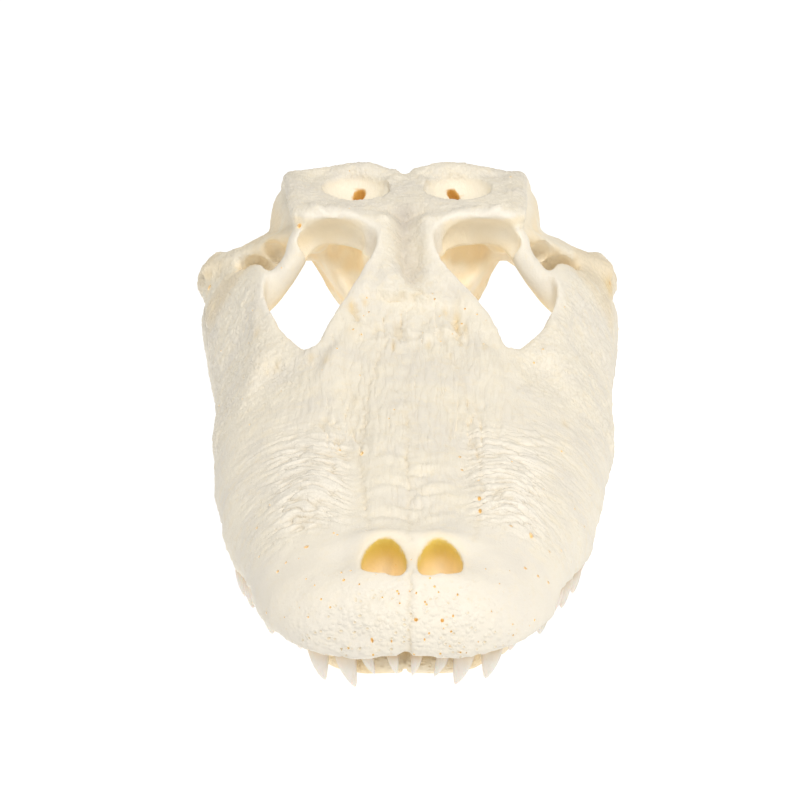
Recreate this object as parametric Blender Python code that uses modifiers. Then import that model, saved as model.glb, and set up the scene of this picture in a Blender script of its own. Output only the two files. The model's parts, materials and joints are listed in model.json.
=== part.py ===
"""A life-size alligator skull with its jaws closed, resting on its lower jaw.

The snout points along -Y, +Z is up and the lower jaw stands on z = 0. Every place and size is first given
as a share of the skull's length, in skull axes: across from the midline, along from the snout's tip, and up
from the upper tooth line. Each bone is a closed loft; a voxel remesh fuses them, cutters open the eye
sockets, nostrils and windows, and the fused bone is then parted at its sutures.
"""
import math

import bmesh
import bpy
import numpy as np
from mathutils import Matrix

# Driving sizes
SKULL_LENGTH = 0.240       # snout tip to the back of the skull table, metres
FLOOR = -0.112             # level that the jaw stands on, below the upper tooth line
MIDDLE = 0.602             # half way along, from the snout's tip to the end of the jaw
GAP = 0.0003               # metres between touching pieces
VOXEL = 0.0011             # metres, for fusing the bones
TOOTH_SEED = 7
BEND = 0.009               # swing of the midline to the right
BEND_PLACE = 0.68
BEND_SPREAD = 0.24
NOSTRIL_PLACE = 0.029      # middle of a nostril across from the middle of the pair
NOSTRIL_SHIFT = 0.008      # how far the pair lies to the right of the midline

# Triangles that each bone may keep before its teeth are set
SNOUT_TRIANGLES = 3300
BRAINCASE_TRIANGLES = 4000
PALATE_TRIANGLES = 1300
CHEEK_TRIANGLES = 1150
JAW_TRIANGLES = 1650

BONE_COLOUR = (0.86, 0.80, 0.69, 1.0)
BONE_ROUGHNESS = 0.62

# Snout: along, half width, roof height, height of the tooth margin, palate vault, squareness
SNOUT_LINES = (
    (0.000, 0.026, 0.020, -0.001, 0.004, 2.0),
    (0.004, 0.052, 0.033, -0.004, 0.006, 2.0),
    (0.010, 0.078, 0.044, -0.006, 0.010, 2.1),
    (0.020, 0.106, 0.056, -0.008, 0.016, 2.2),
    (0.045, 0.132, 0.070, -0.009, 0.022, 2.3),
    (0.075, 0.153, 0.078, -0.007, 0.025, 2.4),
    (0.110, 0.170, 0.084, -0.003, 0.028, 2.4),
    (0.150, 0.182, 0.089, 0.006, 0.028, 2.4),
    (0.200, 0.193, 0.093, 0.000, 0.032, 2.4),
    (0.270, 0.205, 0.098, -0.008, 0.036, 2.4),
    (0.350, 0.217, 0.107, 0.003, 0.034, 2.3),
    (0.450, 0.228, 0.117, 0.002, 0.034, 2.3),
    (0.540, 0.236, 0.128, -0.001, 0.032, 2.2),
    (0.600, 0.240, 0.137, 0.003, 0.030, 2.1),
    (0.640, 0.242, 0.143, 0.008, 0.028, 2.0),
)
RIDGE_WIDTH = 0.034        # tooth-bearing margin, measured across

# Margin of the right eye socket seen from above: across, along
ORBIT_MARGIN = (
    (0.124, 0.602),
    (0.104, 0.632),
    (0.079, 0.680),
    (0.058, 0.722),
    (0.040, 0.762),
    (0.048, 0.800),
    (0.078, 0.818),
    (0.112, 0.815),
    (0.152, 0.815),
    (0.174, 0.792),
    (0.184, 0.745),
    (0.175, 0.692),
    (0.156, 0.640),
    (0.138, 0.606),
)

# Swellings and hollows on the snout's roof: across, along, spread across, spread along, height
SNOUT_RELIEF = (
    (0.124, 0.235, 0.036, 0.060, 0.014),
    (0.000, 0.190, 0.050, 0.050, -0.006),
    (0.070, 0.400, 0.030, 0.120, -0.006),
    (0.092, 0.545, 0.022, 0.060, 0.008),
    (0.000, 0.600, 0.036, 0.060, -0.006),
    (0.030, 0.128, 0.034, 0.014, 0.008),
    (0.070, 0.098, 0.018, 0.022, -0.006),
    (0.040, 0.054, 0.040, 0.014, 0.004),
)

# Lower jaw, one side: across, along, height, half thickness, half height
JAW_LINES = (
    (-0.004, 0.046, -0.023, 0.022, 0.011),
    (0.040, 0.054, -0.025, 0.023, 0.014),
    (0.078, 0.090, -0.027, 0.023, 0.019),
    (0.104, 0.150, -0.028, 0.022, 0.030),
    (0.130, 0.230, -0.036, 0.021, 0.038),
    (0.156, 0.340, -0.050, 0.020, 0.050),
    (0.176, 0.440, -0.059, 0.019, 0.058),
    (0.196, 0.560, -0.057, 0.017, 0.052),
    (0.209, 0.660, -0.057, 0.016, 0.052),
    (0.222, 0.750, -0.052, 0.015, 0.057),
    (0.234, 0.840, -0.041, 0.015, 0.072),
    (0.241, 0.920, -0.040, 0.016, 0.078),
    (0.248, 1.000, -0.036, 0.018, 0.062),
    (0.250, 1.060, -0.018, 0.020, 0.044),
    (0.247, 1.120, -0.012, 0.019, 0.030),
    (0.243, 1.170, 0.004, 0.014, 0.020),
    (0.241, 1.195, 0.022, 0.008, 0.012),
)
JAW_LEAN = 0.16            # outward lean of the jaw's side plates

SEAM_LEAN = (0, -0.45, 0.9)    # lean of the seam between snout and braincase

# Upper teeth of one side nearest the tip: across, along, crown length, radius, outward lean
FRONT_TEETH = (
    (0.0130, 0.014, 0.018, 0.0066, -0.10),
    (0.0420, 0.017, 0.022, 0.0074, -0.38),
    (0.0645, 0.022, 0.037, 0.0100, -0.24),
    (0.0950, 0.038, 0.036, 0.0108, -0.08),
    (0.1190, 0.062, 0.026, 0.0080, 0.06),
)
# Upper teeth behind those, along the snout's edge: along, crown length, radius
CHEEK_TEETH = (
    (0.108, 0.020, 0.0065),
    (0.140, 0.026, 0.0075),
    (0.175, 0.032, 0.0085),
    (0.213, 0.040, 0.0100),
    (0.254, 0.036, 0.0100),
    (0.293, 0.026, 0.0080),
    (0.327, 0.022, 0.0072),
    (0.360, 0.024, 0.0080),
    (0.395, 0.028, 0.0090),
    (0.431, 0.026, 0.0088),
    (0.466, 0.022, 0.0080),
    (0.498, 0.019, 0.0074),
    (0.529, 0.016, 0.0070),
    (0.558, 0.014, 0.0066),
    (0.585, 0.012, 0.0060),
)
# Lower teeth of one side, on the jaw's lines: along, crown length, radius
LOWER_TEETH = (
    (0.0465, 0.026, 0.0080, 0.014),
    (0.0520, 0.018, 0.0065, 0.044),
    (0.0720, 0.020, 0.0070, 0.066),
    (0.1000, 0.034, 0.0100, None),
    (0.1350, 0.018, 0.0065, None),
    (0.1680, 0.018, 0.0065, None),
    (0.2000, 0.018, 0.0065, None),
    (0.2330, 0.020, 0.0070, None),
    (0.2680, 0.022, 0.0075, None),
    (0.3050, 0.024, 0.0080, None),
    (0.3420, 0.024, 0.0085, None),
    (0.3780, 0.022, 0.0080, None),
    (0.4130, 0.020, 0.0075, None),
    (0.4470, 0.018, 0.0072, None),
    (0.4800, 0.016, 0.0070, None),
    (0.5120, 0.014, 0.0068, None),
    (0.5430, 0.012, 0.0064, None),
)
# Tooth from root to tip: share of the crown's length (-1 is the root), width, share of the curl
TOOTH_PROFILE = ((-1, 0.80, 0.0), (0, 1.0, 0.0), (0.45, 0.72, 0.30), (1, 0.10, 0.9))
TOOTH_SIDES = 6
TOOTH_INSET = 0.015        # middle of the upper tooth row in from the snout's edge
TOOTH_ROOT = 0.010         # how far a root is sunk into the bone
TOOTH_COLLAR = 0.002       # height of an upper crown's neck above the snout's edge
TOOTH_FLARE = 0.16         # outward lean of the upper teeth behind the front ones
TOOTH_ROOM = 0.005         # space between a lower tooth and the palate above it


def bend(along):
    """Sideways swing of the midline at a place along the skull, as dried skulls have."""
    return BEND * np.exp(-(((np.asarray(along, float) - BEND_PLACE) / BEND_SPREAD) ** 2))


def to_metres(points):
    """Skull shares to metres in the model's frame."""
    return (np.asarray(points, float) - (0.0, MIDDLE, FLOOR)) * SKULL_LENGTH


def smooth_run(knots, at):
    """Rows of values at the places `at`, on smooth curves through the knots that never overshoot them."""
    knots = np.asarray(knots, float)
    x, y = knots[:, 0], knots[:, 1:]
    step = np.diff(x)[:, None]
    slope = np.diff(y, axis=0) / step
    before, after = slope[:-1], slope[1:]
    agree = before * after > 0
    mean = np.where(agree, 2 * before * after / np.where(agree, before + after, 1.0), 0.0)
    tangent = np.vstack([slope[:1], mean, slope[-1:]])
    at = np.clip(np.asarray(at, float), x[0], x[-1])
    i = np.clip(np.searchsorted(x, at, side="right") - 1, 0, len(x) - 2)
    h = step[i]
    t = ((at - x[i])[:, None]) / h
    return (
        y[i] * (1 + 2 * t) * (1 - t) ** 2
        + tangent[i] * h * t * (1 - t) ** 2
        + y[i + 1] * t**2 * (3 - 2 * t)
        + tangent[i + 1] * h * t**2 * (t - 1)
    )


def loft(name, rings):
    """A closed mesh object through rings of points, in skull shares."""
    bm = bmesh.new()
    rows = [[bm.verts.new(p) for p in to_metres(ring)] for ring in rings]
    for first, second in zip(rows, rows[1:]):
        for k in range(len(first)):
            n = (k + 1) % len(first)
            bm.faces.new((first[k], first[n], second[n], second[k]))
    bm.faces.new(rows[0])
    bm.faces.new(rows[-1])
    bmesh.ops.triangulate(bm, faces=bm.faces)
    bmesh.ops.recalc_face_normals(bm, faces=bm.faces)
    mesh = bpy.data.meshes.new(name)
    bm.to_mesh(mesh)
    bm.free()
    return bpy.data.objects.new(name, mesh)


def rounded_ring(centre, side, up, half_width, half_height, squareness=2.4, count=20):
    """A superellipse about centre, across side and up."""
    angle = np.linspace(0, 2 * math.pi, count, endpoint=False)
    c, s = np.cos(angle), np.sin(angle)
    u = np.sign(c) * np.abs(c) ** (2 / squareness) * half_width
    v = np.sign(s) * np.abs(s) ** (2 / squareness) * half_height
    return centre + u[:, None] * side + v[:, None] * up


def bar(name, stations, up=(0, 0, 1), squareness=2.4, steps=28):
    """A bar of bone through stations: across, along, height, half width, half thickness (along `up`)."""
    stations = np.asarray(stations, float)
    gaps = np.linalg.norm(np.diff(stations[:, :3], axis=0), axis=1)
    knots = np.column_stack([np.concatenate([[0], np.cumsum(gaps)]), stations])
    at = np.linspace(0, knots[-1, 0], steps)
    rows = smooth_run(knots, at)
    tangents = np.gradient(rows[:, :3], axis=0)
    rings = []
    for row, tangent in zip(rows, tangents):
        tangent = tangent / np.linalg.norm(tangent)
        side = np.cross(tangent, up)
        side = side / np.linalg.norm(side)
        lift = np.cross(side, tangent)
        rings.append(rounded_ring(row[:3], side, lift, row[3], row[4], squareness))
    return loft(name, rings)


def placed(name, bm, side, along, up, centre):
    """An object from a unit primitive, stretched along three directions about its centre."""
    frame = Matrix((*zip(side, along, up),)).to_4x4()
    frame.translation = centre
    bmesh.ops.transform(bm, matrix=frame, verts=bm.verts)
    for vertex in bm.verts:
        vertex.co = to_metres(vertex.co[:])
    mesh = bpy.data.meshes.new(name)
    bm.to_mesh(mesh)
    bm.free()
    return bpy.data.objects.new(name, mesh)


def ball(name, centre, sizes, turn=0.0):
    """A closed ellipsoid of three half sizes, turned about the vertical by `turn` degrees."""
    bm = bmesh.new()
    bmesh.ops.create_uvsphere(bm, u_segments=28, v_segments=18, radius=1.0)
    c, s = math.cos(math.radians(turn)), math.sin(math.radians(turn))
    side, along = (c * sizes[0], s * sizes[0], 0), (-s * sizes[1], c * sizes[1], 0)
    return placed(name, bm, side, along, (0, 0, sizes[2]), centre)


def both_sides(make, name, *args, **kwargs):
    """The right-hand object that make() builds, and its mirror image across the midline."""
    right = make(name + "_right", *args, **kwargs)
    mesh = right.data.copy()
    left = bpy.data.objects.new(name + "_left", mesh)
    for vertex in mesh.vertices:
        vertex.co.x = -vertex.co.x
    mesh.flip_normals()
    return [right, left]


def palate_height(across, along):
    """Height of the snout's underside: the tooth margin with the palate's vault inside it."""
    half_width, _, margin, vault, _ = smooth_run(SNOUT_LINES, [along])[0]
    inner = max(half_width - RIDGE_WIDTH, 0.004)
    return margin + vault * np.clip(1 - (np.abs(across) / inner) ** 6, 0, 1)


def snout():
    """Premaxillae, maxillae and nasals: one loft, with a tooth ridge round a vaulted palate."""
    stations = np.concatenate([[0, 0.002, 0.004], np.linspace(0.007, SNOUT_LINES[-1][0], 62)])
    rings = []
    for along, row in zip(stations, smooth_run(SNOUT_LINES, stations)):
        half_width, roof, margin, _, squareness = row
        angle = np.linspace(0, math.pi, 49)
        c, s = np.cos(angle), np.abs(np.sin(angle))
        x = np.sign(c) * np.abs(c) ** (2 / squareness) * half_width
        z = margin + (roof - margin) * s ** (2 / squareness)
        for across, place, wide, long, height in SNOUT_RELIEF:
            sides = {across, -across}
            z = z + s * height * math.exp(-(((along - place) / long) ** 2)) * sum(
                np.exp(-(((x - side) / wide) ** 2)) for side in sides
            )
        under = np.linspace(-1, 1, 33)[1:-1] * half_width
        xs = np.concatenate([x, under])
        zs = np.concatenate([z, palate_height(under, along)])
        rings.append(np.column_stack([xs, np.full(len(xs), along), zs]))
    return [loft("snout", rings)]


def roof_bones():
    """Frontal between the eye sockets, and the skull table."""
    frontal = bar(
        "frontal",
        (
            (0, 0.590, 0.116, 0.090, 0.014),
            (0, 0.635, 0.124, 0.098, 0.018),
            (0, 0.675, 0.134, 0.084, 0.021),
            (0, 0.700, 0.142, 0.074, 0.022),
            (0, 0.735, 0.158, 0.058, 0.022),
            (0, 0.775, 0.177, 0.045, 0.022),
            (0, 0.810, 0.193, 0.070, 0.022),
            (0, 0.835, 0.199, 0.110, 0.024),
        ),
        squareness=4,
    )
    table = bar(
        "skull_table",
        (
            (0, 0.814, 0.200, 0.126, 0.022),
            (0, 0.840, 0.202, 0.140, 0.024),
            (0, 0.900, 0.204, 0.144, 0.024),
            (0, 0.960, 0.204, 0.143, 0.022),
            (0, 0.985, 0.206, 0.140, 0.018),
        ),
        squareness=6,
    )
    rims = both_sides(
        bar,
        "orbit_rim",
        (
            (0.112, 0.500, 0.100, 0.014, 0.010),
            (0.120, 0.575, 0.112, 0.014, 0.012),
            (0.100, 0.635, 0.130, 0.016, 0.012),
            (0.074, 0.685, 0.150, 0.014, 0.012),
            (0.050, 0.730, 0.171, 0.012, 0.011),
            (0.036, 0.775, 0.197, 0.010, 0.011),
            (0.052, 0.818, 0.214, 0.012, 0.010),
            (0.096, 0.836, 0.221, 0.012, 0.010),
            (0.134, 0.828, 0.216, 0.012, 0.010),
        ),
    )
    squamosals = both_sides(
        bar,
        "squamosal",
        (
            (0.133, 0.828, 0.214, 0.014, 0.012),
            (0.137, 0.900, 0.217, 0.016, 0.012),
            (0.139, 0.970, 0.215, 0.017, 0.013),
            (0.144, 1.010, 0.204, 0.015, 0.015),
            (0.154, 1.035, 0.182, 0.010, 0.014),
        ),
    )
    crests = both_sides(
        bar,
        "parietal_crest",
        (
            (0.004, 0.975, 0.209, 0.016, 0.012),
            (0.050, 0.985, 0.226, 0.015, 0.011),
            (0.100, 0.990, 0.222, 0.015, 0.011),
            (0.138, 0.992, 0.212, 0.015, 0.012),
        ),
    )
    return [frontal, table, *rims, *squamosals, *crests]


def braincase():
    """Box of the brain, occiput with its condyle, and the stem that meets the pterygoids."""
    box = bar(
        "brain_box",
        (
            (0, 0.790, 0.158, 0.032, 0.030),
            (0, 0.830, 0.156, 0.050, 0.050),
            (0, 0.870, 0.145, 0.062, 0.070),
            (0, 0.920, 0.135, 0.070, 0.078),
            (0, 0.960, 0.140, 0.080, 0.070),
            (0, 1.000, 0.150, 0.085, 0.055),
        ),
    )
    occiput = both_sides(
        bar,
        "exoccipital",
        (
            (-0.010, 0.998, 0.158, 0.014, 0.052),
            (0.060, 1.000, 0.155, 0.015, 0.044),
            (0.120, 1.005, 0.150, 0.014, 0.036),
            (0.165, 1.012, 0.145, 0.012, 0.030),
        ),
    )
    ears = both_sides(
        bar,
        "ear_wall",
        (
            (0.112, 0.845, 0.186, 0.018, 0.022),
            (0.132, 0.890, 0.178, 0.018, 0.030),
            (0.147, 0.945, 0.170, 0.018, 0.038),
            (0.158, 1.000, 0.162, 0.016, 0.036),
            (0.166, 1.025, 0.150, 0.010, 0.026),
        ),
        up=(-0.3, 0, 1),
    )
    condyle = ball("occipital_condyle", (0, 1.030, 0.118), (0.024, 0.026, 0.020))
    neck = bar(
        "basioccipital",
        (
            (0, 1.005, 0.110, 0.030, 0.030),
            (0, 0.992, 0.084, 0.046, 0.024),
            (0, 0.984, 0.062, 0.040, 0.016),
        ),
        up=(0, 1, 0),
    )
    stem = bar(
        "basisphenoid",
        (
            (0, 0.890, 0.110, 0.034, 0.050),
            (0, 0.900, 0.060, 0.026, 0.045),
            (0, 0.900, 0.000, 0.036, 0.050),
        ),
        up=(0, 1, 0),
    )
    return [box, *occiput, *ears, condyle, neck, stem]


def palate_bones():
    """Palatine tube and the prefrontal pillars that stand on it."""
    palatines = bar(
        "palatines",
        (
            (0, 0.430, 0.050, 0.070, 0.016),
            (0, 0.500, 0.036, 0.058, 0.022),
            (0, 0.580, 0.028, 0.046, 0.025),
            (0, 0.700, 0.022, 0.038, 0.022),
            (0, 0.800, 0.012, 0.042, 0.018),
            (0, 0.880, 0.002, 0.054, 0.014),
        ),
    )
    pillars = both_sides(
        bar,
        "prefrontal_pillar",
        (
            (0.062, 0.645, 0.126, 0.016, 0.014),
            (0.050, 0.650, 0.080, 0.010, 0.012),
            (0.030, 0.660, 0.025, 0.014, 0.014),
        ),
        up=(0, 1, 0),
    )
    return [palatines, *pillars]


def palate_wings():
    """Pterygoid wings and the struts that tie them to the cheeks and the jaw joints."""
    pterygoids = both_sides(
        bar,
        "pterygoid",
        (
            (-0.010, 0.895, -0.002, 0.066, 0.010),
            (0.050, 0.893, -0.008, 0.062, 0.009),
            (0.100, 0.880, -0.022, 0.052, 0.008),
            (0.138, 0.872, -0.042, 0.044, 0.008),
            (0.154, 0.868, -0.060, 0.034, 0.009),
        ),
    )
    ectopterygoids = both_sides(
        bar,
        "ectopterygoid",
        (
            (0.216, 0.715, 0.040, 0.032, 0.012),
            (0.192, 0.755, 0.024, 0.024, 0.010),
            (0.166, 0.805, -0.006, 0.020, 0.010),
            (0.148, 0.850, -0.040, 0.022, 0.009),
        ),
    )
    wings = both_sides(
        bar,
        "quadrate_wing",
        (
            (0.026, 0.880, 0.010, 0.050, 0.010),
            (0.052, 0.888, 0.055, 0.062, 0.011),
            (0.082, 0.905, 0.100, 0.062, 0.012),
            (0.112, 0.930, 0.140, 0.060, 0.013),
        ),
        up=(1, -0.3, -0.6),
    )
    walls = bar(
        "quadrate_wall",
        (
            (-0.118, 0.950, 0.152, 0.012, 0.024),
            (-0.085, 0.940, 0.128, 0.012, 0.040),
            (-0.045, 0.935, 0.095, 0.012, 0.056),
            (0.000, 0.935, 0.085, 0.012, 0.060),
            (0.045, 0.935, 0.095, 0.012, 0.056),
            (0.085, 0.940, 0.128, 0.012, 0.040),
            (0.118, 0.950, 0.152, 0.012, 0.024),
        ),
    )
    return [*pterygoids, *ectopterygoids, *wings, walls]


def cheek_bones():
    """Jugal with the tail of the maxilla below it, on each side."""
    jugals = both_sides(
        bar,
        "jugal",
        (
            (0.200, 0.470, 0.040, 0.012, 0.030),
            (0.206, 0.560, 0.055, 0.013, 0.046),
            (0.204, 0.630, 0.070, 0.012, 0.064),
            (0.204, 0.700, 0.082, 0.012, 0.073),
            (0.211, 0.750, 0.092, 0.012, 0.067),
            (0.221, 0.800, 0.097, 0.012, 0.058),
            (0.229, 0.840, 0.094, 0.012, 0.049),
            (0.234, 0.875, 0.088, 0.012, 0.041),
            (0.236, 0.920, 0.084, 0.012, 0.038),
            (0.244, 0.970, 0.084, 0.012, 0.036),
            (0.252, 1.000, 0.082, 0.013, 0.032),
            (0.255, 1.030, 0.077, 0.011, 0.022),
        ),
        up=(-0.6, 0, 1),
    )
    lacrimals = both_sides(
        bar,
        "lacrimal",
        (
            (0.132, 0.585, 0.110, 0.018, 0.012),
            (0.160, 0.630, 0.116, 0.020, 0.012),
            (0.178, 0.685, 0.122, 0.016, 0.012),
            (0.190, 0.745, 0.130, 0.012, 0.010),
        ),
        up=(0.4, 0, 1),
    )
    maxillae = both_sides(
        bar,
        "maxilla_tail",
        (
            (0.216, 0.540, 0.020, 0.022, 0.022),
            (0.222, 0.640, 0.022, 0.018, 0.020),
            (0.228, 0.720, 0.028, 0.014, 0.016),
            (0.236, 0.780, 0.038, 0.010, 0.012),
        ),
    )
    return [*jugals, *lacrimals, *maxillae]


def cheek_bars():
    """Post-orbital bar, quadratojugal and quadrate with its condyle, on each side."""
    posts = both_sides(
        bar,
        "postorbital_bar",
        (
            (0.104, 0.850, 0.206, 0.040, 0.032),
            (0.130, 0.832, 0.184, 0.022, 0.019),
            (0.147, 0.808, 0.160, 0.018, 0.015),
            (0.165, 0.786, 0.134, 0.022, 0.021),
            (0.184, 0.772, 0.108, 0.034, 0.021),
            (0.203, 0.768, 0.078, 0.044, 0.013),
        ),
        up=(1, 0, 0.6),
    )
    quadrates = both_sides(
        bar,
        "quadrate",
        (
            (0.080, 0.900, 0.165, 0.044, 0.026),
            (0.125, 0.935, 0.152, 0.054, 0.024),
            (0.170, 0.980, 0.116, 0.058, 0.028),
            (0.208, 1.025, 0.086, 0.056, 0.022),
            (0.224, 1.065, 0.062, 0.050, 0.020),
            (0.226, 1.086, 0.050, 0.044, 0.018),
        ),
        up=(0.35, 0.2, 1),
    )
    quadratojugals = both_sides(
        bar,
        "quadratojugal",
        (
            (0.122, 0.850, 0.196, 0.016, 0.012),
            (0.160, 0.905, 0.160, 0.020, 0.011),
            (0.205, 0.955, 0.124, 0.024, 0.011),
            (0.250, 0.995, 0.092, 0.028, 0.012),
        ),
        up=(0.35, 0.1, 1),
    )
    condyles = both_sides(condyle_bar, "quadrate_condyle")
    return [*posts, *quadrates, *quadratojugals, *condyles]


def orbit_cutter(name):
    """An upright prism through the eye socket's margin, flared a little upward."""
    outline = np.asarray(ORBIT_MARGIN, float)
    middle = outline.mean(axis=0)
    rings = []
    for height, scale in ((0.040, 0.94), (0.150, 1.0), (0.300, 1.04)):
        ring = middle + (outline - middle) * scale
        rings.append(np.column_stack([ring, np.full(len(ring), height)]))
    return loft(name, rings)


def skull_cutters():
    """Sockets, nostrils and windows that are cut before the bars behind them are added."""
    orbits = both_sides(orbit_cutter, "orbit")
    chambers = both_sides(ball, "orbit_chamber", (0.124, 0.650, 0.010), (0.070, 0.135, 0.078), turn=-6)
    nostrils = [
        ball(
            "nostril_" + side,
            (NOSTRIL_SHIFT + way * NOSTRIL_PLACE, 0.0925, 0.088),
            (0.0262, 0.034, 0.044),
            turn=-12 * way,
        )
        for side, way in (("right", 1), ("left", -1))
    ]
    passages = both_sides(ball, "nasal_passage", (0.030, 0.140, 0.063), (0.024, 0.060, 0.014))
    hole = ball("palate_foramen", (0, 0.066, 0.010), (0.012, 0.026, 0.016))
    notch = bar(
        "lip_notch",
        (
            (0, -0.020, -0.030, 0.020, 0.010),
            (0, -0.010, 0.000, 0.007, 0.014),
            (0, -0.004, 0.024, 0.003, 0.012),
            (0, 0.006, 0.050, 0.001, 0.008),
        ),
        up=(0, 1, 0),
        steps=10,
    )
    return [*orbits, *chambers, *nostrils, *passages, hole, notch]


def table_cutters():
    """Upper windows in the skull table, the hole of the spine and the throat opening of the nose."""
    basins = both_sides(ball, "upper_window", (0.065, 0.900, 0.226), (0.043, 0.052, 0.025), turn=-12)
    shafts = both_sides(ball, "upper_window_shaft", (0.053, 0.872, 0.198), (0.011, 0.014, 0.05), turn=-12)
    spinal_hole = ball("spinal_hole", (0, 1.010, 0.150), (0.020, 0.040, 0.017))
    throat = ball("throat", (0, 0.915, -0.012), (0.014, 0.018, 0.016))
    return [*basins, *shafts, spinal_hole, throat]


def jaw_bones():
    """One half of the lower jaw with its share of the chin and the joint's socket, on the right."""
    ramus = bar("ramus", JAW_LINES, up=(JAW_LEAN, 0, 1), squareness=2.8, steps=90)
    chin = bar(
        "chin",
        (
            (-0.006, 0.090, -0.030, 0.050, 0.015),
            (0.036, 0.100, -0.031, 0.048, 0.018),
            (0.076, 0.130, -0.034, 0.036, 0.022),
        ),
    )
    articular = bar(
        "articular",
        (
            (0.172, 1.075, 0.002, 0.022, 0.014),
            (0.200, 1.085, -0.002, 0.034, 0.022),
            (0.245, 1.090, -0.006, 0.040, 0.030),
        ),
    )
    return [ramus, chin, articular]


def condyle_bar(name, clearance=0.0):
    """The roller of the jaw joint on the right; the socket is cut with the same roller, made larger."""
    return bar(
        name,
        [
            (x + grow * clearance, y, z, half_width + clearance, half_height + clearance)
            for x, y, z, half_width, half_height, grow in (
                (0.178, 1.078, 0.042, 0.018, 0.014, -1),
                (0.205, 1.086, 0.036, 0.020, 0.015, 0),
                (0.240, 1.088, 0.038, 0.020, 0.015, 0),
                (0.268, 1.080, 0.044, 0.017, 0.013, 1),
            )
        ],
    )


def jaw_cutters():
    """The outer window of the jaw, the muscle pit above it and the socket of the joint."""
    window = ball("jaw_window", (0.236, 0.830, -0.034), (0.060, 0.052, 0.021))
    pit = ball("muscle_pit", (0.216, 0.820, 0.030), (0.012, 0.075, 0.046))
    return [window, pit, condyle_bar("joint_socket", clearance=0.004)]


def slab(name, centre, first, second, first_half, second_half):
    """A thin plate for parting two bones, spanned by two directions that meet at a right angle."""
    first = np.asarray(first, float) / np.linalg.norm(first)
    second = np.asarray(second, float) - first * np.dot(first, second)
    second = second / np.linalg.norm(second)
    normal = np.cross(first, second) * GAP / SKULL_LENGTH
    bm = bmesh.new()
    bmesh.ops.create_cube(bm, size=1.0)
    return placed(name, bm, first * 2 * first_half, second * 2 * second_half, normal, centre)


def seam_cutters():
    """The plates that part the fused cranium along its sutures."""
    across, up = (1, 0, 0), (0, 0, 1)
    front = slab("snout_seam", (0, 0.575, 0.10), across, SEAM_LEAN, 0.40, 0.30)
    bridges = both_sides(
        slab, "lacrimal_seam", (0.124, 0.605, 0.115), (0, 0.9, 0.45), SEAM_LEAN, 0.0335, 0.20
    )
    posts = both_sides(
        slab,
        "postorbital_seam",
        (0.148, 0.806, 0.162),
        (0.83, 0.56, 0),
        (0.034, -0.050, 0.030),
        0.034,
        0.034,
    )
    joints = both_sides(slab, "quadrate_seam", (0.2305, 0.981, 0.080), (0.35, 0.94, 0), up, 0.0755, 0.085)
    corners = both_sides(slab, "quadrate_corner", (0.2960, 1.052, 0.080), across, up, 0.040, 0.085)
    struts = both_sides(
        slab, "ectopterygoid_seam", (0.180, 0.780, 0.009), (0.86, 0.51, 0), (0.2, -0.3, 1), 0.030, 0.026
    )
    floor = slab("pterygoid_seam", (0, 0.7780, 0.062), across, (0, 1, 0), 0.135, 0.1840)
    return [front, *bridges, *posts, *joints, *corners, *struts, floor]


def tooth(name, neck, lean, length, radius, way):
    """A curved cone of few sides that points up (`way` is 1) or down (`way` is -1)."""
    neck, lean = np.asarray(neck, float), np.asarray(lean, float)
    side, along = np.array((1.0, 0, 0)), np.array((0, 1.0, 0))
    rings = []
    for share, wide, curl in TOOTH_PROFILE:
        rise = share * length if share >= 0 else -TOOTH_ROOT
        middle = neck + (0, 0, way * rise) + lean * rise * (0.5 + 0.5 * curl)
        rings.append(rounded_ring(middle, side, along, radius * wide, radius * wide, 2.0, TOOTH_SIDES))
    return loft(name, rings)


def upper_teeth():
    """Teeth of the premaxillae and maxillae, both sides."""
    rng = np.random.default_rng(TOOTH_SEED)
    places = list(FRONT_TEETH)
    for along, length, radius in CHEEK_TEETH:
        across = smooth_run(SNOUT_LINES, [along])[0][0] - TOOTH_INSET
        places.append((across, along, length, radius, TOOTH_FLARE))
    made = []
    for side in (1, -1):
        for number, (across, along, length, radius, flare) in enumerate(places):
            margin = smooth_run(SNOUT_LINES, [along])[0][2]
            length = length * rng.uniform(0.88, 1.08)
            lean = (side * flare, rng.uniform(-0.08, 0.08), 0)
            neck = (side * across, along, margin + TOOTH_COLLAR)
            made.append(tooth("upper_tooth_%d" % number, neck, lean, length + TOOTH_COLLAR, radius, -1))
    return made


def lower_teeth():
    """Teeth of the right half of the lower jaw, with the inward lean of the dentary."""
    rng = np.random.default_rng(TOOTH_SEED + 1)
    knots = [(row[1], row[0], row[2], row[3], row[4]) for row in JAW_LINES]
    made = []
    for number, (along, length, radius, across) in enumerate(LOWER_TEETH):
        middle, height, _, half_height = smooth_run(knots, [along])[0]
        place = middle + JAW_LEAN * half_height if across is None else across
        lean = (rng.uniform(-0.10, 0.00), rng.uniform(-0.06, 0.06), 0)
        neck = (place, along, height + 0.93 * half_height)
        room = min(palate_height(place + radius, along), palate_height(place - radius, along)) - neck[2]
        length = min(length * rng.uniform(0.9, 1.08), room - TOOTH_ROOM)
        made.append(tooth("lower_tooth_%d" % number, neck, lean, length, radius, 1))
    return made


def collection(name, objects):
    """A collection of helper objects, hidden from the render."""
    group = bpy.data.collections.new(name)
    bpy.context.scene.collection.children.link(group)
    for obj in objects:
        group.objects.link(obj)
        obj.hide_render = True
        obj.display_type = "WIRE"
    return group


def joined(name, objects):
    """One object that holds the meshes of all these, which are removed."""
    bm = bmesh.new()
    for obj in objects:
        bm.from_mesh(obj.data)
        bpy.data.objects.remove(obj)
    mesh = bpy.data.meshes.new(name)
    bm.to_mesh(mesh)
    bm.free()
    obj = bpy.data.objects.new(name, mesh)
    bpy.context.scene.collection.objects.link(obj)
    return obj


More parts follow.
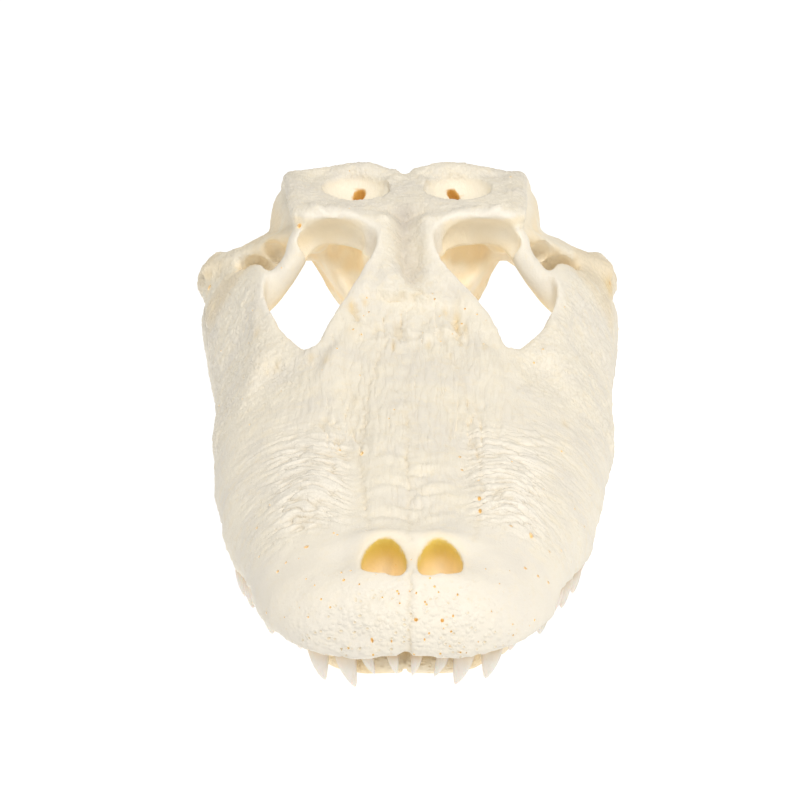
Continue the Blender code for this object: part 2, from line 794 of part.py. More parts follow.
def apply_modifiers(obj):
    """Replaces an object's mesh by what its modifiers make of it."""
    graph = bpy.context.evaluated_depsgraph_get()
    mesh = bpy.data.meshes.new_from_object(obj.evaluated_get(graph))
    obj.modifiers.clear()
    obj.data = mesh


def remesh(obj, size):
    modifier = obj.modifiers.new("Fuse", "REMESH")
    modifier.mode = "VOXEL"
    modifier.voxel_size = size
    apply_modifiers(obj)


def combine(obj, group, operation):
    """Joins or cuts obj with a collection of closed shapes. EXACT is slow on a mesh of this size."""
    modifier = obj.modifiers.new("Combine", "BOOLEAN")
    modifier.operation = operation
    modifier.operand_type = "COLLECTION"
    modifier.collection = group
    modifier.solver = "MANIFOLD"
    apply_modifiers(obj)
    for helper in list(group.objects):
        bpy.data.objects.remove(helper)
    bpy.data.collections.remove(group)


def cut(obj, cutters):
    combine(obj, collection(obj.name + "_cutters", cutters), "DIFFERENCE")


def unite(obj, pieces):
    combine(obj, collection(obj.name + "_pieces", pieces), "UNION")


def closed_parts(obj):
    """The separate closed surfaces of obj as meshes, the largest volume first."""
    bm = bmesh.new()
    bm.from_mesh(obj.data)
    bm.faces.ensure_lookup_table()
    left = set(bm.faces)
    found = []
    while left:
        stack = [left.pop()]
        island = []
        while stack:
            face = stack.pop()
            island.append(face)
            for edge in face.edges:
                for other in edge.link_faces:
                    if other in left:
                        left.remove(other)
                        stack.append(other)
        points = {v: k for k, v in enumerate(dict.fromkeys(v for f in island for v in f.verts))}
        volume = sum(
            (f.verts[0].co.dot(f.verts[k].co.cross(f.verts[k + 1].co))) / 6
            for f in island
            for k in range(1, len(f.verts) - 1)
        )
        mesh = bpy.data.meshes.new(obj.name)
        mesh.from_pydata([v.co[:] for v in points], [], [[points[v] for v in f.verts] for f in island])
        found.append((volume, mesh))
    bm.free()
    found.sort(key=lambda pair: -pair[0])
    return [mesh for _, mesh in found]


def soften(obj, factor, repeat):
    modifier = obj.modifiers.new("Soften", "SMOOTH")
    modifier.factor = factor
    modifier.iterations = repeat
    apply_modifiers(obj)


def drop_flaps(mesh):
    """Takes away single faces that stand off a closed surface. Returns whether the rest is closed."""
    bm = bmesh.new()
    bm.from_mesh(mesh)
    while True:
        flaps = {face for edge in bm.edges if len(edge.link_faces) == 1 for face in edge.link_faces}
        if not flaps or len(flaps) > 20:
            break
        bmesh.ops.delete(bm, geom=list(flaps), context="FACES")
    good = all(edge.is_manifold for edge in bm.edges) and all(vertex.is_manifold for vertex in bm.verts)
    bm.to_mesh(mesh)
    bm.free()
    return good


def thin_out(obj, triangles):
    """Fewer faces, kept where the bone bends; a few more where the thinned surface would not be closed."""
    full = obj.data
    full.calc_loop_triangles()
    for extra in np.linspace(1.0, 1.2, 9):
        obj.data = full
        modifier = obj.modifiers.new("Thin", "DECIMATE")
        modifier.ratio = min(1.0, triangles * extra / len(full.loop_triangles))
        apply_modifiers(obj)
        if drop_flaps(obj.data):
            return


def fused(name, bones, cutters, more_bones=(), more_cutters=()):
    """One closed bone: the lofts joined and cut, then the further bones and cuts."""
    obj = joined(name, bones)
    remesh(obj, VOXEL)
    cut(obj, cutters)
    if more_bones:
        obj = joined(name, [obj, *more_bones])
        remesh(obj, VOXEL)
        cut(obj, more_cutters)
    remesh(obj, VOXEL)
    soften(obj, 0.5, 4)
    return obj


def named_piece(mesh, name, triangles):
    obj = bpy.data.objects.new(name, mesh)
    bpy.context.scene.collection.objects.link(obj)
    thin_out(obj, triangles)
    return obj


def cranium_pieces():
    """The cranium, fused, then parted into snout, braincase, palate and the two cheeks."""
    cranium = fused(
        "cranium",
        [*snout(), *roof_bones(), *palate_bones(), *cheek_bones()],
        skull_cutters(),
        [*braincase(), *palate_wings(), *cheek_bars()],
        table_cutters(),
    )
    cut(cranium, seam_cutters())
    meshes = closed_parts(cranium)[:5]
    bpy.data.objects.remove(cranium)
    middles = [np.mean([v.co[:] for v in mesh.vertices], axis=0) for mesh in meshes]
    order = sorted(range(5), key=lambda k: middles[k][0])
    left, right = order[0], order[-1]
    inner = sorted(order[1:-1], key=lambda k: middles[k][1])
    snout_index = inner[0]
    palate_index, brain_index = sorted(inner[1:], key=lambda k: middles[k][2])
    return {
        "snout": named_piece(meshes[snout_index], "snout", SNOUT_TRIANGLES),
        "braincase": named_piece(meshes[brain_index], "braincase", BRAINCASE_TRIANGLES),
        "palate": named_piece(meshes[palate_index], "palate", PALATE_TRIANGLES),
        "cheek_left": named_piece(meshes[left], "cheek_left", CHEEK_TRIANGLES),
        "cheek_right": named_piece(meshes[right], "cheek_right", CHEEK_TRIANGLES),
    }


def mirrored(obj, name):
    """The mirror image of obj across the midline."""
    mesh = obj.data.copy()
    for vertex in mesh.vertices:
        vertex.co.x = -vertex.co.x
    mesh.flip_normals()
    twin = bpy.data.objects.new(name, mesh)
    bpy.context.scene.collection.objects.link(twin)
    return twin


def keep_largest(obj):
    obj.data = closed_parts(obj)[0]


def block(name, low, high):
    """A box between two corners, in skull shares."""
    sizes = np.subtract(high, low)
    bm = bmesh.new()
    bmesh.ops.create_cube(bm, size=1.0)
    return placed(name, bm, (sizes[0], 0, 0), (0, sizes[1], 0), (0, 0, sizes[2]), np.add(low, high) / 2)


def jaw_halves():
    """The right half of the lower jaw with its teeth and resting flats, and its mirror image."""
    right = fused("mandible_right", jaw_bones(), jaw_cutters())
    thin_out(right, JAW_TRIANGLES)
    half_gap = GAP / SKULL_LENGTH / 2
    cut(right, [
        block("symphysis_plane", (-0.2, -0.1, -0.3), (half_gap, 0.4, 0.2)),
        block("floor_plane", (-0.3, -0.2, FLOOR - 0.1), (0.5, 1.4, FLOOR)),
    ])
    unite(right, lower_teeth())
    keep_largest(right)
    return right, mirrored(right, "mandible_left")


def bone_material(name):
    material = bpy.data.materials.new(name)
    material.use_nodes = True
    shader = material.node_tree.nodes["Principled BSDF"]
    shader.inputs["Base Color"].default_value = BONE_COLOUR
    shader.inputs["Roughness"].default_value = BONE_ROUGHNESS
    return material


def main():
    for obj in list(bpy.data.objects):
        bpy.data.objects.remove(obj)
    pieces = cranium_pieces()
    unite(pieces["snout"], upper_teeth())
    keep_largest(pieces["snout"])
    right, left = jaw_halves()
    skull = bpy.data.collections.new("alligator_skull")
    bpy.context.scene.collection.children.link(skull)
    for obj in (*pieces.values(), right, left):
        for vertex in obj.data.vertices:
            vertex.co.x += bend(vertex.co.y / SKULL_LENGTH + MIDDLE) * SKULL_LENGTH
        obj.data.materials.clear()
        obj.data.materials.append(bone_material(obj.name + "_bone"))
        skull.objects.link(obj)
        bpy.context.scene.collection.objects.unlink(obj)


main()
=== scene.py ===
import json
import math

import bmesh
import bpy
import numpy as np
from mathutils import Matrix, Vector, kdtree

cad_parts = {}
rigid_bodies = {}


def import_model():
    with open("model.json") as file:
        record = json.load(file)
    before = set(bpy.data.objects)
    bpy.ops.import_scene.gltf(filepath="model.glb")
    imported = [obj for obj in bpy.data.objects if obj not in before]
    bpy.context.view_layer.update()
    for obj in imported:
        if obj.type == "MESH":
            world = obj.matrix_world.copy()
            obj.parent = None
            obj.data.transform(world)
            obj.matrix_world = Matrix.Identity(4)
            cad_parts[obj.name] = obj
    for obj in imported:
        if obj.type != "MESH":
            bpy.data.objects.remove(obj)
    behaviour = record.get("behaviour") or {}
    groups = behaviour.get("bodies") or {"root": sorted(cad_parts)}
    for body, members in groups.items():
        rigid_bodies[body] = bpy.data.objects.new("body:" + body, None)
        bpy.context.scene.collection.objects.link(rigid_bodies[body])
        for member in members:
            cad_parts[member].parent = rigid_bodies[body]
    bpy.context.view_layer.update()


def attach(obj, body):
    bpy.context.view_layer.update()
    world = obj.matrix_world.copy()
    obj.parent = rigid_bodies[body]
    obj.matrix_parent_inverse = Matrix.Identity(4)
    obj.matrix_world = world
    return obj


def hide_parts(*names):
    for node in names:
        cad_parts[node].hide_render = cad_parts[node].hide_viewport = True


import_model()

# Places and sizes are shares of the skull's length, and thousandths of it in the tables of the
# bones: across from the midline, along from the snout's tip, and up from the upper tooth line.
# The midline's slight swing to the right is put in last.
skull = {
    "length": 0.240,            # snout tip to the back of the skull table, metres
    "floor": -0.112,            # level that the jaw rests on
    "middle": 0.602,            # half way along, from the snout's tip to the end of the jaw
    "swing": 0.0078,            # how far the midline swings to the right
    "swingPlace": 0.68,
    "swingSpread": 0.24,
    "snoutShift": 0.0050,       # further shift of the snout to the right
    "rightSwell": 0.0070,       # further swelling of its right side
    "rightCheek": 0.0055,       # and of the right cheek's outer face
    "rightPinch": 0.0055,       # how far the right side draws in behind the front teeth
    "bridgeShift": 0.0062,      # how far the bridge between the eye sockets stays behind the swing
    "jawShift": 0.0035,         # further shift of the jaw's rear
    "coarse": 0.0010,           # voxel for joining the bones, metres
    "fine": 0.00052,            # voxel of the finished bone
    "craniumTriangles": 182000,
    "jawTriangles": 120000,
    "seed": 11,
}


def toMetres(points):
    return (np.asarray(points, float) - (0.0, skull["middle"], skull["floor"])) * skull["length"]


def smoothRun(knots, at):  # smooth curves through the knots that never overshoot them
    knots = np.asarray(knots, float)
    x, y = knots[:, 0], knots[:, 1:]
    step = np.diff(x)[:, None]
    slope = np.diff(y, axis=0) / step
    before, after = slope[:-1], slope[1:]
    agree = before * after > 0
    mean = np.where(agree, 2 * before * after / np.where(agree, before + after, 1.0), 0.0)
    tangent = np.vstack([slope[:1], mean, slope[-1:]])
    at = np.clip(np.asarray(at, float), x[0], x[-1])
    i = np.clip(np.searchsorted(x, at, side="right") - 1, 0, len(x) - 2)
    h = step[i]
    t = ((at - x[i])[:, None]) / h
    return (
        y[i] * (1 + 2 * t) * (1 - t) ** 2
        + tangent[i] * h * t * (1 - t) ** 2
        + y[i + 1] * t**2 * (3 - 2 * t)
        + tangent[i + 1] * h * t**2 * (t - 1)
    )


def rise(value, low, high):  # smoothly from 0 at low to 1 at high
    t = np.clip((value - low) / (high - low), 0, 1)
    return t * t * (3 - 2 * t)


def fall(value, low, high):
    return 1 - rise(value, low, high)


def band(value, low, full, fading, high):  # 1 between full and fading
    return rise(value, low, full) * fall(value, fading, high)


def bell(value, middle, spread):
    return np.exp(-(((value - middle) / spread) ** 2))


def linked(obj):
    bpy.context.scene.collection.objects.link(obj)
    return obj


def asObject(name, bm):
    mesh = bpy.data.meshes.new(name)
    bm.to_mesh(mesh)
    bm.free()
    return bpy.data.objects.new(name, mesh)


def loft(name, rings):  # closed mesh through rings of points
    bm = bmesh.new()
    rows = [[bm.verts.new(p) for p in toMetres(ring)] for ring in rings]
    for first, second in zip(rows, rows[1:]):
        for k in range(len(first)):
            n = (k + 1) % len(first)
            bm.faces.new((first[k], first[n], second[n], second[k]))
    bm.faces.new(rows[0])
    bm.faces.new(rows[-1])
    bmesh.ops.triangulate(bm, faces=bm.faces)
    bmesh.ops.recalc_face_normals(bm, faces=bm.faces)
    return asObject(name, bm)


def roundedRing(centre, side, up, halfWidth, halfHeight, squareness, count=32):
    angle = np.linspace(0, 2 * math.pi, count, endpoint=False)
    c, s = np.cos(angle), np.sin(angle)
    u = np.sign(c) * np.abs(c) ** (2 / squareness) * halfWidth
    v = np.sign(s) * np.abs(s) ** (2 / squareness) * halfHeight
    return centre + u[:, None] * side + v[:, None] * up


def bar(name, stations, up=(0, 0, 1), squareness=2.4, steps=48):
    # stations in thousandths: across, along, height, half width, half thickness along up
    stations = np.asarray(stations, float) / 1000
    gaps = np.linalg.norm(np.diff(stations[:, :3], axis=0), axis=1)
    knots = np.column_stack([np.concatenate([[0], np.cumsum(gaps)]), stations])
    rows = smoothRun(knots, np.linspace(0, knots[-1, 0], steps))
    tangents = np.gradient(rows[:, :3], axis=0)
    rings = []
    for row, tangent in zip(rows, tangents):
        tangent = tangent / np.linalg.norm(tangent)
        side = np.cross(tangent, up)
        side = side / np.linalg.norm(side)
        rings.append(roundedRing(row[:3], side, np.cross(side, tangent), row[3], row[4], squareness))
    return loft(name, rings)


def ball(name, centre, sizes, turn=0.0):  # closed ellipsoid of three half sizes, turned in degrees
    centre, sizes = np.array((centre, sizes)) / 1000
    bm = bmesh.new()
    bmesh.ops.create_uvsphere(bm, u_segments=40, v_segments=26, radius=1.0)
    c, s = math.cos(math.radians(turn)), math.sin(math.radians(turn))
    side, along = (c * sizes[0], s * sizes[0], 0), (-s * sizes[1], c * sizes[1], 0)
    place = Matrix((*zip(side, along, (0, 0, sizes[2])),)).to_4x4()
    place.translation = centre
    bmesh.ops.transform(bm, matrix=place, verts=bm.verts)
    for vertex in bm.verts:
        vertex.co = toMetres(vertex.co[:])
    return asObject(name, bm)


def mirrored(name, obj):
    mesh = obj.data.copy()
    for vertex in mesh.vertices:
        vertex.co.x = -vertex.co.x
    mesh.flip_normals()
    return bpy.data.objects.new(name, mesh)


def bothSides(make, name, *args, **kwargs):
    right = make(name + "Right", *args, **kwargs)
    return [right, mirrored(name + "Left", right)]


# joining, cutting and thinning


def settled(obj):  # the object keeps what its modifiers make of it
    graph = bpy.context.evaluated_depsgraph_get()
    mesh = bpy.data.meshes.new_from_object(obj.evaluated_get(graph))
    obj.modifiers.clear()
    obj.data = mesh
    return obj


def changed(obj, kind, **settings):  # the object keeps what one modifier makes of it
    modifier = obj.modifiers.new(kind.title(), kind)
    for name, value in settings.items():
        setattr(modifier, name, value)
    return settled(obj)


def joined(name, objects):
    bm = bmesh.new()
    for obj in objects:
        bm.from_mesh(obj.data)
        bpy.data.objects.remove(obj)
    return linked(asObject(name, bm))


def voxelled(obj, size):
    return changed(obj, "REMESH", mode="VOXEL", voxel_size=size)


def softened(obj, factor, repeat):
    return changed(obj, "SMOOTH", factor=factor, iterations=repeat)


def cutWith(obj, helpers):
    group = bpy.data.collections.new(obj.name + "Helpers")
    bpy.context.scene.collection.children.link(group)
    for helper in helpers:
        group.objects.link(helper)
    changed(
        obj, "BOOLEAN", operation="DIFFERENCE", operand_type="COLLECTION", collection=group,
        solver="MANIFOLD",
    )
    for helper in list(group.objects):
        bpy.data.objects.remove(helper)
    bpy.data.collections.remove(group)


def withoutFlaps(mesh):  # takes single faces off a closed surface and says whether the rest is closed
    bm = bmesh.new()
    bm.from_mesh(mesh)
    while True:
        flaps = {face for edge in bm.edges if len(edge.link_faces) == 1 for face in edge.link_faces}
        if not flaps or len(flaps) > 20:
            break
        bmesh.ops.delete(bm, geom=list(flaps), context="FACES")
    loose = [vertex for vertex in bm.verts if not vertex.link_faces]
    bmesh.ops.delete(bm, geom=loose, context="VERTS")
    good = all(part.is_manifold for part in (*bm.edges, *bm.verts))
    bm.to_mesh(mesh)
    bm.free()
    return good


def thinned(obj, triangles):  # a little further where thinning leaves the surface open
    full = obj.data
    full.calc_loop_triangles()
    for share in (1.0, 0.985, 0.97, 0.955, 0.94):
        obj.data = full
        changed(obj, "DECIMATE", ratio=min(1.0, triangles * share / len(full.loop_triangles)))
        if withoutFlaps(obj.data):
            break
    return obj


# the bones of the cranium

snoutShape = {
    # along, half width, roof height, height of the tooth margin, palate vault, squareness
    "lines": (
        (0, 0.026, 0.02, -0.001, 0.004, 2), (0.004, 0.052, 0.033, -0.004, 0.006, 2),
        (0.01, 0.078, 0.044, -0.005, 0.01, 2.1), (0.02, 0.106, 0.056, -0.003, 0.016, 2.2),
        (0.045, 0.132, 0.07, -0.001, 0.022, 2.3), (0.075, 0.15, 0.078, -0.001, 0.025, 2.4),
        (0.11, 0.164, 0.084, -0.003, 0.028, 2.4), (0.15, 0.1745, 0.089, 0.006, 0.028, 2.4),
        (0.2, 0.187, 0.093, 0, 0.032, 2.4), (0.27, 0.205, 0.098, -0.008, 0.036, 2.4),
        (0.35, 0.217, 0.107, 0.003, 0.034, 2.3), (0.45, 0.228, 0.117, 0.002, 0.034, 2.3),
        (0.54, 0.236, 0.128, -0.001, 0.032, 2.2), (0.6, 0.24, 0.137, 0.003, 0.03, 2.1),
        (0.64, 0.242, 0.143, 0.008, 0.028, 2),
    ),
    # swellings and hollows of the roof: across, along, spread across, spread along, height
    "relief": (
        (0.124, 0.235, 0.036, 0.06, 0.014), (0, 0.19, 0.05, 0.05, -0.006),
        (0.07, 0.4, 0.03, 0.12, -0.006), (0.092, 0.545, 0.022, 0.06, 0.008),
        (0, 0.6, 0.036, 0.06, -0.006), (0.03, 0.128, 0.034, 0.014, 0.008),
        (0.07, 0.098, 0.018, 0.022, -0.006), (0.04, 0.054, 0.04, 0.014, 0.004),
    ),
    "ridgeWidth": 0.034,        # tooth-bearing margin, measured across
    "nostrilPlace": (0.03, 0.089),      # middle of a nostril, from the middle of the pair and along
    "nostrilShift": 0.0068,     # how far the pair lies to the right of the midline
    # outline of the right nostril from above, about its middle: straight in front, arched behind
    "nostril": (
        (-0.019, -0.041), (-0.004, -0.035), (0.0215, -0.03), (0.0262, -0.012), (0.024, 0.01),
        (0.016, 0.024), (0.004, 0.032), (-0.007, 0.031), (-0.0175, 0.02), (-0.0235, -0.002),
        (-0.0245, -0.028),
    ),
    "nostrilLevels": ((0.034, 0.84, 0.012), (0.06, 0.96, 0.006), (0.082, 1, 0), (0.12, 1.08, -0.004)),
}

socketShape = {  # margin of the right eye socket from above: across, along
    "margin": (
        (0.115, 0.598), (0.107, 0.632), (0.09, 0.68), (0.064, 0.722), (0.038, 0.758),
        (0.036, 0.796), (0.068, 0.818), (0.112, 0.817), (0.152, 0.815), (0.174, 0.792),
        (0.183, 0.745), (0.172, 0.692), (0.149, 0.64), (0.122, 0.6),
    ),
    "levels": ((0.04, 0.94, 0), (0.15, 1, 0), (0.3, 1.04, 0)),   # height, scale, shift along
}


def palateHeight(across, along):
    halfWidth, _, margin, vault, _ = smoothRun(snoutShape["lines"], [along])[0]
    inner = max(halfWidth - snoutShape["ridgeWidth"], 0.004)
    return margin + vault * np.clip(1 - (np.abs(across) / inner) ** 6, 0, 1)


def snoutBones():
    end = snoutShape["lines"][-1][0]
    stations = np.concatenate([[0, 0.001, 0.002, 0.003, 0.0045, 0.006], np.linspace(0.008, end, 120)])
    rings = []
    for along, row in zip(stations, smoothRun(snoutShape["lines"], stations)):
        halfWidth, roof, margin, _, squareness = row
        angle = np.linspace(0, math.pi, 97)
        c, s = np.cos(angle), np.abs(np.sin(angle))
        x = np.sign(c) * np.abs(c) ** (2 / squareness) * halfWidth
        z = margin + (roof - margin) * s ** (2 / squareness)
        for across, place, wide, long, height in snoutShape["relief"]:
            sides = {across, -across}
            z = z + s * height * math.exp(-(((along - place) / long) ** 2)) * sum(
                np.exp(-(((x - side) / wide) ** 2)) for side in sides
            )
        under = np.linspace(-1, 1, 65)[1:-1] * halfWidth
        xs = np.concatenate([x, under])
        zs = np.concatenate([z, palateHeight(under, along)])
        rings.append(np.column_stack([xs, np.full(len(xs), along), zs]))
    return [loft("snoutLoft", rings)]


def roofBones():
    frontal = bar("frontal", (
        (0, 590, 116, 90, 14), (0, 635, 124, 98, 18), (0, 675, 134, 84, 21), (0, 700, 142, 74, 22),
        (0, 735, 158, 58, 22), (0, 775, 177, 45, 22), (0, 810, 193, 70, 22), (0, 835, 199, 110, 24),
    ), squareness=4)
    table = bar("skullTable", (
        (0, 814, 200, 126, 22), (0, 840, 202, 140, 24), (0, 900, 204, 144, 24), (0, 960, 204, 143, 22),
        (0, 985, 206, 140, 18),
    ), squareness=6)
    rims = bothSides(bar, "orbitRim", (
        (112, 500, 100, 14, 10), (120, 575, 112, 14, 12), (100, 635, 130, 16, 12),
        (74, 685, 150, 14, 12), (50, 730, 171, 12, 11), (36, 775, 197, 10, 11), (52, 818, 214, 12, 10),
        (96, 836, 221, 12, 10), (134, 828, 216, 12, 10),
    ))
    squamosals = bothSides(bar, "squamosal", (
        (133, 828, 214, 14, 12), (137, 900, 217, 16, 12), (139, 970, 215, 17, 13),
        (144, 1010, 204, 15, 15), (154, 1035, 182, 10, 14),
    ))
    crests = bothSides(bar, "parietalCrest", (
        (4, 975, 211, 16, 12), (50, 985, 227, 15, 11), (100, 990, 219, 15, 11), (138, 992, 212, 15, 12),
    ))
    return [frontal, table, *rims, *squamosals, *crests]


def braincaseBones():
    box = bar("brainBox", (
        (0, 790, 158, 32, 30), (0, 830, 156, 50, 50), (0, 870, 145, 62, 70), (0, 920, 135, 70, 78),
        (0, 960, 140, 80, 70), (0, 1000, 150, 85, 55),
    ))
    occiput = bothSides(bar, "exoccipital", (
        (-10, 998, 158, 14, 52), (60, 1000, 155, 15, 44), (120, 1005, 150, 14, 36),
        (165, 1012, 145, 12, 30),
    ))
    ears = bothSides(bar, "earWall", (
        (112, 845, 186, 18, 22), (132, 890, 178, 18, 30), (147, 945, 170, 18, 38),
        (158, 1000, 162, 16, 36), (166, 1025, 150, 10, 26),
    ), up=(-0.3, 0, 1))
    condyle = ball("occipitalCondyle", (0, 1030, 118), (24, 26, 20))
    neck = bar("basioccipital", (
        (0, 1005, 110, 30, 30), (0, 992, 84, 46, 24), (0, 984, 62, 40, 16),
    ), up=(0, 1, 0))
    stem = bar("basisphenoid", (
        (0, 890, 110, 34, 50), (0, 900, 60, 26, 45), (0, 900, 0, 36, 50),
    ), up=(0, 1, 0))
    return [box, *occiput, *ears, condyle, neck, stem]


def palateBones():
    palatines = bar("palatines", (
        (0, 430, 50, 70, 16), (0, 500, 36, 58, 22), (0, 580, 28, 46, 25), (0, 700, 22, 38, 22),
        (0, 800, 12, 42, 18), (0, 880, 2, 54, 14),
    ))
    pillars = bothSides(bar, "prefrontalPillar", (
        (62, 645, 126, 16, 14), (50, 650, 80, 10, 12), (30, 660, 25, 14, 14),
    ), up=(0, 1, 0))
    return [palatines, *pillars]


def palateWings():
    pterygoids = bothSides(bar, "pterygoid", (
        (-10, 895, -2, 66, 10), (50, 893, -8, 62, 9), (100, 880, -22, 52, 8), (138, 872, -42, 44, 8),
        (154, 868, -60, 34, 9),
    ))
    ectopterygoids = bothSides(bar, "ectopterygoid", (
        (216, 715, 40, 32, 12), (192, 755, 24, 24, 10), (166, 805, -6, 20, 10), (148, 850, -40, 22, 9),
    ))
    wings = bothSides(bar, "quadrateWing", (
        (26, 880, 10, 50, 10), (52, 888, 55, 62, 11), (82, 905, 100, 62, 12), (112, 930, 140, 60, 13),
    ), up=(1, -0.3, -0.6))
    walls = bar("quadrateWall", (
        (-118, 950, 152, 12, 24), (-85, 940, 128, 12, 40), (-45, 935, 95, 12, 56), (0, 935, 85, 12, 60),
        (45, 935, 95, 12, 56), (85, 940, 128, 12, 40), (118, 950, 152, 12, 24),
    ))
    inner = bothSides(ball, "laterosphenoid", (62, 890, 128), (36, 32, 56))
    return [*pterygoids, *ectopterygoids, *wings, walls, *inner]


def cheekBones():
    jugals = bothSides(bar, "jugal", (
        (200, 470, 40, 12, 30), (206, 560, 55, 13, 46), (204, 630, 70, 12, 64), (204, 700, 82, 12, 73),
        (209, 750, 98, 12, 72), (217, 800, 103, 12, 67), (227, 840, 98, 12, 54), (234, 875, 88, 12, 41),
        (236, 920, 84, 12, 38), (244, 970, 84, 12, 36), (252, 1000, 82, 13, 32),
        (255, 1030, 77, 11, 22),
    ), up=(-0.6, 0, 1))
    lacrimals = bothSides(bar, "lacrimal", (
        (132, 585, 110, 18, 12), (160, 630, 116, 20, 12), (178, 685, 122, 16, 12),
        (190, 745, 130, 12, 10),
    ), up=(0.4, 0, 1))
    maxillae = bothSides(bar, "maxillaTail", (
        (216, 540, 20, 22, 22), (222, 640, 22, 18, 20), (228, 720, 28, 14, 16), (236, 780, 38, 10, 12),
    ))
    return [*jugals, *lacrimals, *maxillae]


def condyleBar(name, clearance=0.0):  # roller of the jaw joint; its socket is cut with a larger one
    return bar(name, [
        (x + grow * clearance, y, z, halfWidth + clearance, halfHeight + clearance)
        for x, y, z, halfWidth, halfHeight, grow in (
            (178, 1078, 42, 18, 14, -1), (205, 1086, 36, 20, 15, 0), (240, 1088, 38, 20, 15, 0),
            (268, 1080, 44, 17, 13, 1),
        )
    ])


def cheekBars():
    posts = bothSides(bar, "postorbitalBar", (
        (104, 850, 206, 40, 32), (131, 832, 186, 22, 18), (144, 808, 167, 17, 14),
        (161, 792, 148, 16, 16), (182, 780, 132, 18, 21), (202, 774, 112, 26, 18),
    ), up=(1, 0, 0.6))
    quadrates = bothSides(bar, "quadrate", (
        (80, 900, 165, 44, 26), (125, 935, 152, 54, 24), (170, 980, 116, 58, 28),
        (208, 1025, 86, 56, 22), (224, 1065, 62, 50, 20), (226, 1086, 50, 44, 18),
    ), up=(0.35, 0.2, 1))
    quadratojugals = bothSides(bar, "quadratojugal", (
        (122, 850, 196, 16, 12), (160, 905, 160, 20, 11), (205, 955, 124, 24, 11),
        (250, 995, 92, 28, 12),
    ), up=(0.35, 0.1, 1))
    return [*posts, *quadrates, *quadratojugals, *bothSides(condyleBar, "quadrateCondyle")]


def prism(name, outline, levels, middle=(0, 0)):  # upright prism through an outline seen from above
    outline = np.asarray(outline, float) + middle
    closed = np.vstack([outline[-2:], outline, outline[:3]])
    at = np.arange(len(closed), dtype=float)
    fine = np.linspace(2, 2 + len(outline), 56, endpoint=False)
    outline = np.column_stack([np.interp(fine, at, closed[:, k]) for k in (0, 1)])
    for _ in range(3):
        outline = (np.roll(outline, 1, 0) + 2 * outline + np.roll(outline, -1, 0)) / 4
    centre = outline.mean(axis=0)
    rings = []
    for height, scale, shift in levels:
        ring = centre + (outline - centre) * scale + (0, shift)
        rings.append(np.column_stack([ring, np.full(len(ring), height)]))
    return loft(name, rings)


def nostrilCutter(name):
    return prism(name, snoutShape["nostril"], snoutShape["nostrilLevels"], snoutShape["nostrilPlace"])


def socketCutter(name):
    return prism(name, socketShape["margin"], socketShape["levels"])


def firstCutters():
    chambers = bothSides(ball, "socketChamber", (124, 650, 10), (70, 135, 78), turn=-6)
    nostrils = bothSides(nostrilCutter, "nostril")
    for nostril in nostrils:
        for vertex in nostril.data.vertices:
            vertex.co.x += snoutShape["nostrilShift"] * skull["length"]
    hole = ball("palateHole", (0, 66, 10), (12, 26, 16))
    notch = bar("lipNotch", (
        (0, -20, -30, 20, 10), (0, -10, 0, 7, 14), (0, -4, 24, 3, 12), (0, 6, 50, 1, 8),
    ), up=(0, 1, 0), steps=20)
    return [*bothSides(socketCutter, "socket"), *chambers, *nostrils, hole, notch]


def secondCutters():
    basins = bothSides(ball, "upperWindow", (65, 920, 226), (43, 50, 27), turn=-12)
    shafts = bothSides(ball, "upperWindowShaft", (60, 950, 198), (6.5, 12, 22), turn=24)
    arches = bothSides(ball, "socketArch", (94, 812, 188), (46, 21, 32))
    windows = bothSides(ball, "lowerWindow", (180, 866, 142), (34, 44, 30))
    windows += bothSides(ball, "windowFloor", (192, 912, 118), (20, 34, 18))
    windows += bothSides(ball, "windowTop", (168, 890, 142), (18, 32, 16))
    spinalHole = ball("spinalHole", (0, 1010, 150), (20, 40, 17))
    throat = ball("throat", (0, 915, -12), (14, 18, 16))
    return [*basins, *shafts, *arches, *windows, spinalHole, throat]


def fusedBone(name, bones, cutters, moreBones=(), moreCutters=()):
    obj = voxelled(joined(name, bones), skull["coarse"])
    cutWith(obj, cutters)
    if moreBones:
        obj = voxelled(joined(name, [obj, *moreBones]), skull["coarse"])
        cutWith(obj, moreCutters)
    voxelled(obj, skull["fine"])
    return softened(obj, 0.5, 9)


# the lower jaw

jawShape = {
    # in thousandths: across, along, height, half thickness, half height
    "lines": (
        (-4, 46, -23, 22, 11), (40, 54, -25, 23, 14), (78, 90, -27, 23, 19), (104, 150, -28, 22, 30),
        (130, 230, -36, 21, 38), (156, 340, -50, 20, 50), (176, 440, -59, 19, 58),
        (196, 560, -57, 17, 52), (209, 660, -57, 16, 52), (222, 750, -52, 15, 57),
        (234, 840, -41, 15, 72), (241, 920, -40, 16, 78), (248, 1000, -36, 18, 62),
        (250, 1060, -18, 20, 44), (247, 1120, -12, 19, 30), (243, 1170, 4, 14, 20),
        (241, 1195, 22, 8, 12),
    ),
    "lean": 0.16,               # outward lean of the side plates
}


def jawBones():
    ramus = bar("ramus", jawShape["lines"], up=(jawShape["lean"], 0, 1), squareness=2.8, steps=160)
    chin = bar("chin", (
        (-6, 90, -30, 50, 15), (36, 100, -31, 48, 18), (76, 130, -34, 36, 22),
    ))
    articular = bar("articular", (
        (212, 1078, 1, 16, 12), (224, 1085, -2, 34, 24), (245, 1090, -6, 40, 30),
    ))
    return [ramus, chin, articular]


def jawCutters():
    window = ball("jawWindow", (236, 830, -34), (60, 52, 21))
    pit = ball("musclePit", (216, 820, 30), (12, 75, 46))
    return [window, pit, condyleBar("jointSocket", clearance=4)]


# places on the bone, as attributes that the relief and the materials read


